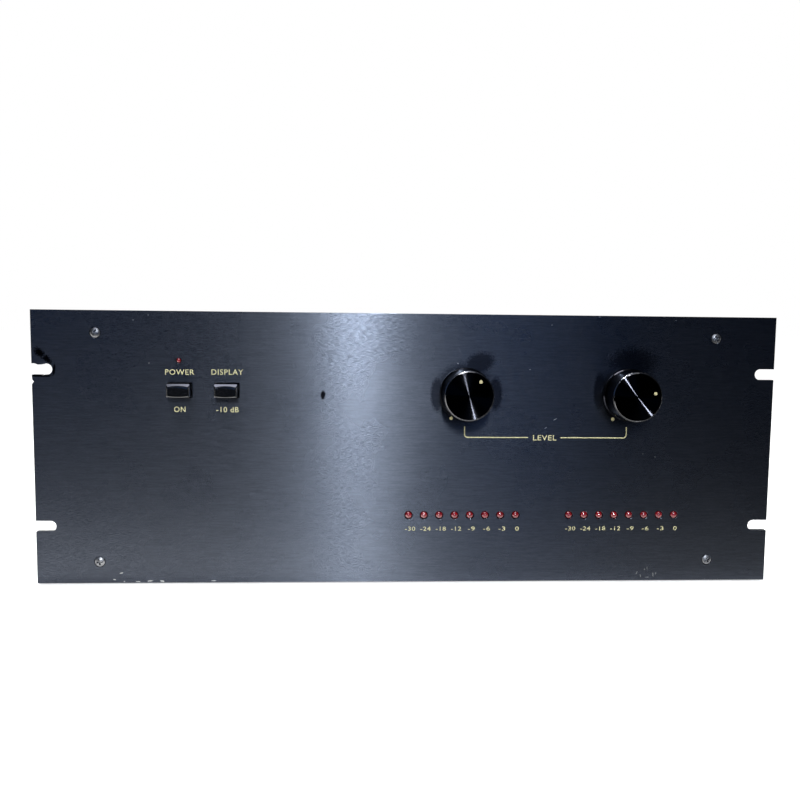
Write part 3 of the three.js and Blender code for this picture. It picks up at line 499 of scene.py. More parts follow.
def shader_group(
    name: str, inputs: dict[str, Value], outputs: Sequence[str]
) -> tuple[Tree, Sockets, Sockets]:
    """Starts a shader node group with named sockets, the first of them the place on the surface.

    Args:
        name: the group's name.
        inputs: the names of its other inputs and their first values.
        outputs: the names of its outputs, which are all plain values.

    Returns:
        The tree, the sockets that come in and those that go out.
    """
    group = bpy.data.node_groups.new(name, "ShaderNodeTree")
    for label, value in {"Vector": (0.0, 0.0, 0.0), **inputs}.items():
        kind = "NodeSocketVector" if isinstance(value, tuple) else "NodeSocketFloat"
        group.interface.new_socket(label, in_out="INPUT", socket_type=kind).default_value = value
    for label in outputs:
        group.interface.new_socket(label, in_out="OUTPUT", socket_type="NodeSocketFloat")
    tree = Tree(group)
    return tree, tree.node("NodeGroupInput").outputs, tree.node("NodeGroupOutput").inputs


@functools.cache
def brushed_grain() -> NodeTree:
    """Group: long fine lines of a brushed face, as a streak value and a height.

    Returns:
        The group.
    """
    tree, given, result = shader_group("brushed_grain", {"Along": (4.0, 4.0, 900.0)}, ("Streak", "Height"))
    fineness, broad_share = 3.7, 0.55
    place = tree.vectors("MULTIPLY", given["Vector"], given["Along"]).outputs[0]
    finer = tree.vectors("SCALE", place)
    tree.set(finer.inputs["Scale"], fineness)
    broad_lines = tree.times(tree.noise(place, 1.0, 3, 0.6), broad_share)
    fine_lines = tree.times(tree.noise(finer.outputs[0], 1.0, 2, 0.6), 1 - broad_share)
    both = tree.maths("ADD", broad_lines, fine_lines)
    tree.set(result["Streak"], tree.stretch(both, 0.3, 0.7))
    tree.set(result["Height"], both)
    return tree.tree


@functools.cache
def edge_wear() -> NodeTree:
    """Group: a mask of sharp edges, broken up by noise, where a coating has rubbed off.

    Returns:
        The group.
    """
    inputs = {"Reach": 0.4 * MM, "Scale": 300.0, "Amount": 0.5}
    tree, given, result = shader_group("edge_wear", inputs, ("Mask",))
    flat, sharp, fade = 0.995, 0.9, 0.08
    rounded = tree.out("ShaderNodeBevel", {"Radius": given["Reach"]}, samples=4)
    normal = tree.node("ShaderNodeNewGeometry").outputs["Normal"]
    facing = tree.vectors("DOT_PRODUCT", rounded, normal).outputs["Value"]
    edge = tree.stretch(facing, flat, sharp)
    patches = tree.noise(given["Vector"], given["Scale"], 4, 0.7)
    limit = tree.maths("SUBTRACT", 1.0, given["Amount"])
    worn = tree.stretch(patches, limit, tree.maths("ADD", limit, fade))
    tree.set(result["Mask"], tree.times(edge, worn, clamp=True))
    return tree.tree


@functools.cache
def handling() -> NodeTree:
    """Group: faint cloudy smears and specks of dust, as two masks, the dust thickest on what faces up.

    Returns:
        The group.
    """
    tree, given, result = shader_group(
        "handling", {"Smear": 14.0, "Speck": 420.0, "Dust": 0.3}, ("Smears", "Dust"),
    )
    upright_share, film_share = 0.12, 0.5
    cloud = tree.noise(given["Vector"], given["Smear"], 4, 0.6)
    tree.set(result["Smears"], tree.stretch(cloud, 0.4, 0.7))
    specks = tree.stretch(tree.noise(given["Vector"], given["Speck"], 1, 0.5), 0.7, 0.78)
    normal = tree.node("ShaderNodeSeparateXYZ", {0: tree.node("ShaderNodeNewGeometry").outputs["Normal"]})
    lying = tree.stretch(normal.outputs["Z"], 0.2, 0.9, upright_share, 1.0)
    dust = tree.times(tree.maths("ADD", specks, tree.times(cloud, film_share)), lying)
    tree.set(result["Dust"], tree.times(dust, given["Dust"], clamp=True))
    return tree.tree


@functools.cache
def pebbled() -> NodeTree:
    """Group: the fine grain of moulded plastic, rubber or paint, as a value and a height.

    Returns:
        The group.
    """
    tree, given, result = shader_group("pebbled", {"Scale": 900.0}, ("Grain", "Height"))
    inputs = {"Vector": given["Vector"], "Scale": given["Scale"]}
    cells = tree.node("ShaderNodeTexVoronoi", inputs).outputs["Distance"]
    grain = tree.noise(given["Vector"], given["Scale"], 3, 0.6)
    tree.set(result["Grain"], grain)
    tree.set(result["Height"], tree.maths("ADD", cells, grain))
    return tree.tree


@functools.cache
def blemish_spot() -> NodeTree:
    """Group: one ragged oval mark at a place, as a mask.

    Returns:
        The group.
    """
    nowhere = (0.0, 0.0, 0.0)
    first = {"Place": nowhere, "Turn": nowhere, "Size": (1.0, 1.0, 1.0), "Ragged": 0.6}
    tree, given, result = shader_group("blemish_spot", first, ("Mask",))
    tear_scale, rim, full = 900.0, 1.0, 0.8
    inputs = {
        "Vector": given["Vector"], "Location": given["Place"], "Rotation": given["Turn"],
        "Scale": given["Size"],
    }
    local = tree.out("ShaderNodeMapping", inputs, vector_type="TEXTURE")
    reach = tree.vectors("LENGTH", local).outputs["Value"]
    tears = tree.times(tree.noise(given["Vector"], tear_scale, 3, 0.7), given["Ragged"])
    tree.set(result["Mask"], tree.stretch(tree.maths("ADD", reach, tears), rim, full))
    return tree.tree


# Finishes


@dataclass(frozen=True)
class Blemish:
    """One mark on an upright face: where it is, half its width and height, and how far it leans."""

    x: float
    z: float
    half_width: float
    half_height: float
    lean: float = 0.0
    ragged: float = 0.6


class Surface:
    """A material in the making: its Principled shader and the groups that feed it."""

    def __init__(self, name: str) -> None:
        """Makes an empty material with one Principled shader.

        Args:
            name: the material's name.
        """
        self.material, self.tree = blank_material(name)
        self.shader = self.tree.node("ShaderNodeBsdfPrincipled")
        output = self.tree.node("ShaderNodeOutputMaterial")
        self.tree.set(output.inputs["Surface"], self.shader.outputs[0])
        self.place = self.tree.node("ShaderNodeTexCoord").outputs["Object"]

    def put(self, **inputs: Value) -> None:
        """Sets inputs of the shader; an underscore stands for a space."""
        for name, value in inputs.items():
            self.tree.set(self.shader.inputs[name.replace("_", " ")], value)

    def group(self, build: Callable[[], NodeTree], **inputs: Value) -> Node:
        """Adds a group node that reads Object coordinates.

        Args:
            build: makes the group, or gives the one that it made before.
            inputs: values of the node's other inputs.

        Returns:
            The node.
        """
        node = self.tree.node("ShaderNodeGroup", node_tree=build())
        self.tree.set(node.inputs["Vector"], self.place)
        for name, value in inputs.items():
            self.tree.set(node.inputs[name], value)
        return node

    def blemishes(self, marks: Sequence[Blemish]) -> NodeSocket:
        """Mask of several marks.

        Args:
            marks: the marks, at least one.

        Returns:
            The mask: 1 on any of them.
        """
        mask: Optional[NodeSocket] = None
        for mark in marks:
            spot = self.group(
                blemish_spot, Place=(mark.x * MM, 0.0, mark.z * MM), Turn=(0.0, mark.lean * DEGREE, 0.0),
                Size=(mark.half_width * MM, 1.0, mark.half_height * MM), Ragged=mark.ragged,
            ).outputs["Mask"]
            mask = self.tree.maths("MAXIMUM", mask, spot) if mask else spot
        return mask

    def bump(self, height: Value, depth: float) -> NodeSocket:
        """Normal of a Bump node."""
        return self.tree.out("ShaderNodeBump", {"Height": height, "Distance": depth, "Strength": 1.0})


@dataclass(frozen=True)
class BrushedAnodising:
    """Black anodised aluminium, brushed in long lines, its edges rubbed down to the metal, with painted shade
    round the knobs.
    """

    name: str = "brushed_panel"
    dark: Colour = (0.05, 0.056, 0.07)
    light: Colour = (0.094, 0.103, 0.125)
    bare: Colour = (0.62, 0.62, 0.6)
    stain: Colour = (0.002, 0.002, 0.003)
    # painted shade: the dark colour laid round the knobs in place of their shadow and dark reflection on the
    # panel
    knob_shade_colour: Colour = (0.004, 0.005, 0.01)
    crisp: float = 0.265
    hazy: float = 0.64
    along: tuple[float, float, float] = (110.0, 110.0, 1500.0)
    lines: tuple[float, float, float] = (240.0, 240.0, 14000.0)
    streak_low: float = 0.49
    streak_high: float = 0.59
    wear: float = 0.4
    wear_reach: float = 0.35 * MM
    wear_scale: float = 260.0
    dust: float = 0.16
    smear: float = 0.12
    smear_haze: float = 0.03
    smeared: Colour = (0.1, 0.1, 0.11)
    scuff: float = 0.5
    # how strongly the painted shade round the knobs is laid on
    knob_shade_share: float = 0.75
    line_depth: float = 0.0006 * MM
    stains: tuple[Blemish, ...] = (
        Blemish(-57.0, 125.1, 2.5, 5.0, 8), Blemish(-235.9, 150.9, 10.5, 6.2, 43, 1.0),
        Blemish(-231.3, 146.9, 8.7, 4.6, 50, 1.0), Blemish(-235.4, 136.3, 14.0, 1.7, 0, 0.8),
        Blemish(-227.2, 140.2, 1.6, 7.5, 8, 0.8),
    )
    scratches: tuple[Blemish, ...] = (
        Blemish(-192.0, 3.6, 1.6, 0.5, 10), Blemish(-187.5, 7.9, 1.9, 0.42, -12),
        Blemish(-185.8, 2.4, 0.8, 0.4), Blemish(-177.0, 2.2, 3.2, 0.7, 0, 0.9),
        Blemish(-169.0, 2.6, 4.2, 1.0, -6, 0.9), Blemish(-161.5, 2.4, 3.2, 1.1, 8, 0.9),
        Blemish(-127.9, 2.5, 2.6, 0.45), Blemish(95.3, 110.0, 2.1, 0.3, -30, 0.4),
        Blemish(89.1, 104.3, 1.4, 0.3, -35, 0.4), Blemish(-177.2, 172.1, 0.7, 0.35),
        Blemish(-167.8, 175.4, 0.6, 0.4), Blemish(-167.7, 144.9, 0.7, 0.35),
        Blemish(91.5, 171.8, 0.5, 0.5), Blemish(30.4, 146.3, 0.8, 0.3, 30),
        Blemish(77.8, 142.7, 0.9, 0.3, -10), Blemish(154.9, 87.2, 0.6, 0.35),
        Blemish(163.1, 85.2, 0.7, 0.3), Blemish(123.0, 177.4, 1.4, 0.5), Blemish(173.6, 175.6, 0.7, 0.5),
    )
    scuffs: tuple[Blemish, ...] = (
        Blemish(153.6, 6.4, 0.7, 2.6, 28, 0.9), Blemish(156.2, 4.6, 0.6, 2.4, -12, 0.9),
        Blemish(160.8, 3.4, 2.6, 0.7, 0, 0.9), Blemish(158.9, 8.9, 0.8, 0.8, 0, 0.6),
        Blemish(164.8, 5.2, 0.9, 2.7, -8, 0.9), Blemish(166.6, 6.1, 0.6, 2.2, 14, 0.9),
        Blemish(160.6, 9.6, 0.35, 2.4, -6, 0.8), Blemish(-228.0, 140.2, 2.6, 0.9, 0, 1.1),
    )
    # painted shade round each knob and above it, standing in for the knob's shadow and its dark reflection in
    # the panel
    knob_shade_marks: tuple[Blemish, ...] = (
        Blemish(35.5, 126.6, 27.0, 27.5, 0, 0.35), Blemish(44.5, 146.5, 18.0, 12.0, -20, 0.7),
        Blemish(17.3, 126.0, 6.8, 17.0, 0, 0.5), Blemish(55.0, 126.5, 7.5, 17.0, 0, 0.5),
        Blemish(143.1, 127.0, 28.0, 29.0, 0, 0.35), Blemish(146.0, 148.0, 36.0, 21.0, 0, 0.9),
        Blemish(124.8, 128.5, 7.0, 19.0, 0, 0.5),
    )

    def material(self) -> Material:
        """Builds the material.

        Returns:
            The material.
        """
        surface = Surface(self.name)
        tree = surface.tree
        grain = surface.group(brushed_grain, Along=self.along)
        worn = surface.group(edge_wear, Reach=self.wear_reach, Scale=self.wear_scale, Amount=self.wear)
        marks = surface.group(handling, Dust=self.dust)
        colour = tree.blend(grain.outputs["Streak"], self.dark, self.light)
        colour = tree.blend(tree.times(marks.outputs["Smears"], self.smear), colour, self.smeared)
        colour = tree.blend(marks.outputs["Dust"], colour, DUST)
        # painted shade round the knobs
        colour = tree.blend(tree.times(surface.blemishes(self.knob_shade_marks), self.knob_shade_share), colour, self.knob_shade_colour)
        colour = tree.blend(tree.times(surface.blemishes(self.scuffs), self.scuff), colour, self.bare)
        rubbed = tree.maths("MAXIMUM", worn.outputs["Mask"], surface.blemishes(self.scratches))
        colour = tree.blend(rubbed, colour, self.bare)
        surface.put(Base_Color=tree.blend(surface.blemishes(self.stains), colour, self.stain), Metallic=1.0)
        lines = surface.group(brushed_grain, Along=self.lines).outputs["Streak"]
        lined = tree.stretch(lines, self.streak_low, self.streak_high, self.crisp, self.hazy)
        haze = tree.times(marks.outputs["Smears"], self.smear_haze)
        tangent = tree.out("ShaderNodeTangent", direction_type="RADIAL", axis="X")
        surface.put(Roughness=tree.maths("ADD", lined, haze), Anisotropic=1.0, Tangent=tangent)
        surface.put(Normal=surface.bump(grain.outputs["Height"], self.line_depth))
        return surface.material


@dataclass(frozen=True)
class PlainMetal:
    """Plated, painted or bare metal with a fine grain, smears and worn edges."""

    name: str
    colour: Colour
    bare: Colour = (0.55, 0.55, 0.54)
    roughness: float = 0.4
    metallic: float = 1.0
    grain: float = 900.0
    depth: float = 0.01 * MM
    wear: float = 0.3
    wear_reach: float = 0.3 * MM
    dust: float = 0.3
    coat: float = 0.0
    coat_roughness: float = 0.35
    tone: float = 0.12
    smear: float = 0.1
    polish: float = 0.03

    def material(self) -> Material:
        """Builds the material.

        Returns:
            The material.
        """
        surface = Surface(self.name)
        tree = surface.tree
        pebbles = surface.group(pebbled, Scale=self.grain)
        marks = surface.group(handling, Dust=self.dust)
        worn = surface.group(edge_wear, Reach=self.wear_reach, Amount=self.wear).outputs["Mask"]
        darker = tuple(part * (1 - self.tone) for part in self.colour)
        lighter = tuple(part * (1 + self.tone) for part in self.colour)
        base = tree.blend(pebbles.outputs["Grain"], darker, lighter)
        dusty = tree.blend(marks.outputs["Dust"], base, DUST)
        surface.put(Base_Color=tree.blend(worn, dusty, self.bare))
        covered = tree.times(tree.maths("SUBTRACT", 1.0, marks.outputs["Dust"]), self.metallic)
        surface.put(Metallic=tree.maths("MAXIMUM", covered, worn))
        smears = tree.times(marks.outputs["Smears"], self.smear)
        surface.put(Roughness=tree.maths("ADD", smears, self.roughness - self.polish))
        surface.put(Coat_Weight=self.coat, Coat_Roughness=self.coat_roughness)
        surface.put(Normal=surface.bump(pebbles.outputs["Height"], self.depth))
        return surface.material


@dataclass(frozen=True)
class Plastic:
    """Moulded plastic or rubber: a grain, a little wear, smears and dust."""

    name: str
    colour: Colour
    roughness: float = 0.4
    grain: float = 1400.0
    depth: float = 0.006 * MM
    wear: float = 0.15
    dust: float = 0.2
    dusty: Colour = (0.28, 0.27, 0.25)
    coat: float = 0.0
    coat_roughness: float = 0.05
    smear: float = 0.12
    mottle: float = 0.2
    rub: float = 0.6
    wear_reach: float = 0.25 * MM
    pale: float = 1.9
    pale_lift: float = 0.003

    def material(self) -> Material:
        """Builds the material.

        Returns:
            The material.
        """
        surface = Surface(self.name)
        tree = surface.tree
        pebbles = surface.group(pebbled, Scale=self.grain)
        marks = surface.group(handling, Dust=self.dust)
        worn = surface.group(edge_wear, Reach=self.wear_reach, Amount=self.wear).outputs["Mask"]
        pale = tuple(min(1.0, part * self.pale + self.pale_lift) for part in self.colour)
        base = tree.blend(tree.times(pebbles.outputs["Grain"], self.mottle), self.colour, pale)
        rubbed = tree.blend(tree.times(worn, self.rub), base, pale)
        surface.put(Base_Color=tree.blend(marks.outputs["Dust"], rubbed, self.dusty))
        smears = tree.times(marks.outputs["Smears"], self.smear)
        surface.put(Roughness=tree.maths("ADD", smears, self.roughness))
        surface.put(Coat_Weight=self.coat, Coat_Roughness=self.coat_roughness)
        surface.put(Normal=surface.bump(pebbles.outputs["Height"], self.depth))
        return surface.material


@dataclass(frozen=True)
class PrintedGilt:
    """Pale gold ink, screened on a little unevenly."""

    name: str = "gilt_print"
    colour: Colour = (0.5, 0.46, 0.24)
    faded: Colour = (0.36, 0.33, 0.18)
    patch_scale: float = 700.0
    roughness: float = 0.55
    depth: float = 0.005 * MM

    def material(self) -> Material:
        """Builds the material.

        Returns:
            The material.
        """
        surface = Surface(self.name)
        tree = surface.tree
        patches = tree.stretch(tree.noise(surface.place, self.patch_scale, 3, 0.6), 0.4, 0.65)
        surface.put(Base_Color=tree.blend(patches, self.colour, self.faded), Roughness=self.roughness)
        surface.put(Normal=surface.bump(patches, self.depth))
        return surface.material


@dataclass(frozen=True)
class RedLens:
    """Clear red epoxy of an unlit lamp, darker towards the rim of its dome by painted shade."""

    name: str = "red_lens"
    colour: Colour = (0.2, 0.003, 0.007)
    # the painted shade at the rim of the dome
    shade_colour: Colour = (0.1, 0.002, 0.004)

    def material(self) -> Material:
        """Builds the material.

        Returns:
            The material.
        """
        surface = Surface(self.name)
        tree = surface.tree
        # painted shade: the colour darkens as the dome turns away from the view, standing in for the dark
        # ring of its gap and side
        facing = tree.node("ShaderNodeLayerWeight", {"Blend": 0.45}).outputs["Facing"]
        cloudy = tree.noise(surface.place, 1500.0, 2, 0.5)
        depth = tree.times(facing, tree.stretch(cloudy, 0.2, 0.8, 0.8, 1.1), clamp=True)
        surface.put(Base_Color=tree.blend(depth, self.colour, self.shade_colour))
        surface.put(Roughness=0.12, Coat_Weight=1.0, Coat_Roughness=0.16)
        surface.put(Subsurface_Weight=0.25, Subsurface_Scale=1.2 * MM, IOR=1.55, Coat_IOR=2.0)
        return surface.material


@dataclass(frozen=True)
class Laminations:
    """A stack of thin steel sheets seen edge on, varnished and a little rusty."""

    name: str = "laminated_core"
    sheet: float = 0.5 * MM
    steel: Colour = (0.14, 0.12, 0.1)
    gap: Colour = (0.03, 0.025, 0.02)
    rust: Colour = (0.2, 0.08, 0.03)
    rust_scale: float = 60.0
    rust_most: float = 0.7
    smooth: float = 0.4
    rough: float = 0.75
    depth: float = 0.03 * MM

    def material(self) -> Material:
        """Builds the material.

        Returns:
            The material.
        """
        surface = Surface(self.name)
        tree = surface.tree
        across = tree.node("ShaderNodeSeparateXYZ", {0: surface.place}).outputs["Y"]
        wave = tree.maths("SINE", tree.times(across, math.tau / self.sheet))
        seam = tree.stretch(wave, 0.6, 0.95)
        rusty = tree.noise(surface.place, self.rust_scale, 5, 0.6)
        patches = tree.stretch(rusty, 0.5, 0.75, 0.0, self.rust_most)
        steel = tree.blend(patches, self.steel, self.rust)
        surface.put(Base_Color=tree.blend(seam, steel, self.gap), Metallic=0.6)
        surface.put(Roughness=tree.stretch(patches, 0.0, self.rust_most, self.smooth, self.rough))
        surface.put(Normal=surface.bump(wave, self.depth))
        return surface.material


@dataclass(frozen=True)
class WindingWrap:
    """Varnished paper tape wound round a coil in overlapping turns."""

    name: str = "winding_wrap"
    tape: float = 11.0 * MM
    colour: Colour = (0.5, 0.3, 0.1)
    stained: Colour = (0.32, 0.16, 0.05)
    shade_colour: Colour = (0.1, 0.05, 0.02)
    slant: float = 0.18
    shaded: float = 0.08
    shadow: float = 0.6
    stain_scale: float = 45.0
    smooth: float = 0.35
    rough: float = 0.55
    varnish: float = 0.3
    depth: float = 0.15 * MM

    def material(self) -> Material:
        """Builds the material.

        Returns:
            The material.
        """
        surface = Surface(self.name)
        tree = surface.tree
        parts = tree.node("ShaderNodeSeparateXYZ", {0: surface.place}).outputs
        slope = tree.maths("ADD", parts["Z"], tree.times(parts["X"], self.slant))
        lap = tree.maths("FRACT", tree.maths("DIVIDE", slope, self.tape))
        stains = tree.stretch(tree.noise(surface.place, self.stain_scale, 4, 0.6), 0.35, 0.7)
        shade = tree.stretch(lap, 0.0, self.shaded, self.shadow, 0.0)
        mixed = tree.blend(stains, self.colour, self.stained)
        surface.put(Base_Color=tree.blend(shade, mixed, self.shade_colour))
        rough = tree.stretch(stains, 0.0, 1.0, self.smooth, self.rough)
        surface.put(Roughness=rough, Coat_Weight=self.varnish)
        surface.put(Normal=surface.bump(lap, self.depth))
        return surface.material


class Finishes:
    """Every finish of the amplifier, each built once."""

    def __init__(self) -> None:
        """Builds them all."""
        self.panel = BrushedAnodising().material()
        self.knob_side = PlainMetal(
            "knob_side", (0.034, 0.034, 0.042), roughness=0.1, depth=0.0005 * MM, wear=0.2, dust=0.04,
        ).material()
        self.knob_face = PlainMetal(
            "knob_face", (0.0045, 0.0045, 0.0055), roughness=0.07, depth=0.0003 * MM, wear=0.0, dust=0.03,
        ).material()
        self.knob_edge = PlainMetal(
            "knob_edge", (0.16, 0.16, 0.17), roughness=0.12, depth=0.0003 * MM, wear=0.3, dust=0.03,
        ).material()
        self.gloss = Plastic(
            "gloss_black", (0.002, 0.002, 0.0025), roughness=0.06, depth=0.0004 * MM, dust=0.05, coat=1.0,
        ).material()
        self.gilt = PrintedGilt().material()
        self.dot = PrintedGilt("cream_dot", (0.44, 0.39, 0.2), (0.33, 0.29, 0.15)).material()
        self.lens = RedLens().material()
        self.screw = PlainMetal(
            "bright_screw", (0.22, 0.22, 0.23), roughness=0.42, wear=0.0, dust=0.1,
        ).material()
        self.bright = PlainMetal(
            "nickel_plate", (0.66, 0.64, 0.6), roughness=0.22, wear=0.1, dust=0.2,
        ).material()
        # near-black for the screws' cross recesses: grime, and painted shade where the recess lies in shadow
        self.grime_and_shade = PlainMetal(
            "recess_grime", (0.003, 0.003, 0.003), roughness=0.7, wear=0.0, dust=0.0,
        ).material()
        self.plated = PlainMetal(
            "zinc_plate", (0.52, 0.52, 0.5), roughness=0.42, grain=160.0, tone=0.25,
        ).material()
        self.paint = PlainMetal(
            "satin_black_paint", (0.018, 0.019, 0.021), metallic=0.0, roughness=0.55, grain=700.0,
            depth=0.03 * MM, wear=0.35, dust=0.55, coat=0.1,
        ).material()
        self.black_screw = PlainMetal(
            "black_oxide", (0.06, 0.06, 0.065), roughness=0.36, wear=0.35, dust=0.3,
        ).material()
        self.sink = PlainMetal(
            "black_extrusion", (0.034, 0.036, 0.04), roughness=0.5, grain=500.0, wear=0.35, dust=0.5,
        ).material()
        self.moulded = Plastic(
            "moulded_black", (0.016, 0.016, 0.018), roughness=0.38, depth=0.01 * MM,
        ).material()
        self.red = Plastic("moulded_red", (0.38, 0.02, 0.02), roughness=0.3, coat=0.3).material()
        self.rubber = Plastic(
            "foot_rubber", (0.02, 0.02, 0.02), roughness=0.75, grain=600.0, depth=0.03 * MM, wear=0.3,
            dust=0.6,
        ).material()
        self.white_print = PrintedGilt("white_print", (0.7, 0.7, 0.66), (0.5, 0.5, 0.47)).material()
        self.board = Plastic(
            "board_varnish", (0.05, 0.16, 0.07), roughness=0.3, grain=260.0, coat=0.4,
        ).material()
        self.lamination = Laminations().material()
        self.wrap = WindingWrap().material()
        self.sleeve = Plastic(
            "shrunk_sleeve", (0.03, 0.07, 0.2), roughness=0.22, grain=90.0, coat=0.5,
        ).material()


def dress(piece: Object, body: str, slot: Slot, material: Material, *nodes: str) -> None:
    """Gives a finished piece its material and its body, and hides the nodes of the frame that it replaces.

    Args:
        piece: a plain mesh at the origin.
        body: the body that it moves with.
        slot: not used.
        material: its first material; others that the mesh already has stay.
        nodes: the nodes of the frame that it replaces.
    """
    if len(piece.data.materials):
        piece.data.materials[0] = material
    else:
        piece.data.materials.append(material)
    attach(piece, body)
    if nodes:
        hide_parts(*nodes)
    log.info("%s: %d faces on %s", piece.name, len(piece.data.polygons), body)


# Camera and studio


@dataclass(frozen=True)
class Viewpoint:
    """The photograph's point of view."""

    place: Place = (-0.0350, -0.68833, 0.1705)
    turn: Place = (84.880, -0.608, -2.916)
    lens: float = 37.449

    def build(self) -> None:
        """Makes the camera."""
        data = bpy.data.cameras.new("camera")
        data.lens = self.lens
        camera = bpy.data.objects.new("camera", data)
        bpy.context.scene.collection.objects.link(camera)
        camera.location = self.place
        camera.rotation_euler = Euler([part * DEGREE for part in self.turn])
        bpy.context.scene.camera = camera


@dataclass(frozen=True)
class Softbox:
    """A rectangular lamp that points at a spot."""

    name: str
    place: Place
    aim: Place
    width: float
    height: float
    watts: float
    colour: Colour = (1.0, 1.0, 1.0)

    def build(self) -> None:
        """Makes the lamp."""
        data = bpy.data.lights.new(self.name, "AREA")
        data.shape = "RECTANGLE"
        data.size = self.width
        data.size_y = self.height
        data.energy = self.watts
        data.color = self.colour
        lamp = bpy.data.objects.new(self.name, data)
        bpy.context.scene.collection.objects.link(lamp)
        lamp.location = self.place
        lamp.rotation_euler = (Vector(self.aim) - Vector(self.place)).to_track_quat("-Z", "Y").to_euler()


@dataclass(frozen=True)
class Card:
    """A large sheet that only reflections see, in the place of the room in front of the object.

    Its brightness is the product of two ramps, each a few levels at shares of its width and height.
    """

    name: str
    middle: Place
    width: float
    height: float
    lie: Lie
    across: tuple[Point, ...]
    along: tuple[Point, ...]
    colour: Colour = (0.55, 0.7, 1.0)

    def ramp(self, tree: Tree, value: Value, stops: tuple[Point, ...]) -> NodeSocket:
        """Colour ramp of grey levels, smooth between its stops.

        Args:
            tree: where it is added.
            value: what it reads.
            stops: places with their levels, the first at 0 and the last at 1.

        Returns:
            The level.
        """
        ramp = tree.node("ShaderNodeValToRGB", {"Fac": value})
        ramp.color_ramp.interpolation = "EASE"
        elements = ramp.color_ramp.elements
        for place, grey in stops[1:-1]:
            elements.new(place).color = (grey, grey, grey, 1)
        for i in (0, -1):
            grey = stops[i][1]
            elements[i].color = (grey, grey, grey, 1)
        return ramp.outputs["Color"]

    def build(self) -> None:
        """Makes the card."""
        shape = bmesh.new()
        first, second = self.lie.value
        for x, y in rectangle((0, 0), self.width, self.height):
            point = shape.verts.new()
            point.co[first] = x
            point.co[second] = y
        shape.faces.new(shape.verts)
        mesh = mesh_of(shape, self.name)
        mesh.transform(Matrix.Translation(self.middle))
        card = new_piece(self.name, mesh)
        material, tree = blank_material(self.name)
        place = tree.vectors("SUBTRACT", tree.node("ShaderNodeTexCoord").outputs["Object"], self.middle)
        parts = tree.node("ShaderNodeSeparateXYZ", {0: place.outputs[0]}).outputs
        shares = [
            tree.stretch(parts[axis], -size / 2, size / 2)
            for axis, size in zip(self.lie.value, (self.width, self.height))
        ]
        ramps = [self.ramp(tree, share, stops) for share, stops in zip(shares, (self.across, self.along))]
        glow = tree.out("ShaderNodeEmission", {"Color": self.colour, "Strength": tree.times(*ramps)})
        tree.node("ShaderNodeOutputMaterial", {"Surface": glow})
        mesh.materials.append(material)
        card.visible_camera = False
        card.visible_diffuse = False
        card.visible_shadow = False
        card.visible_transmission = False


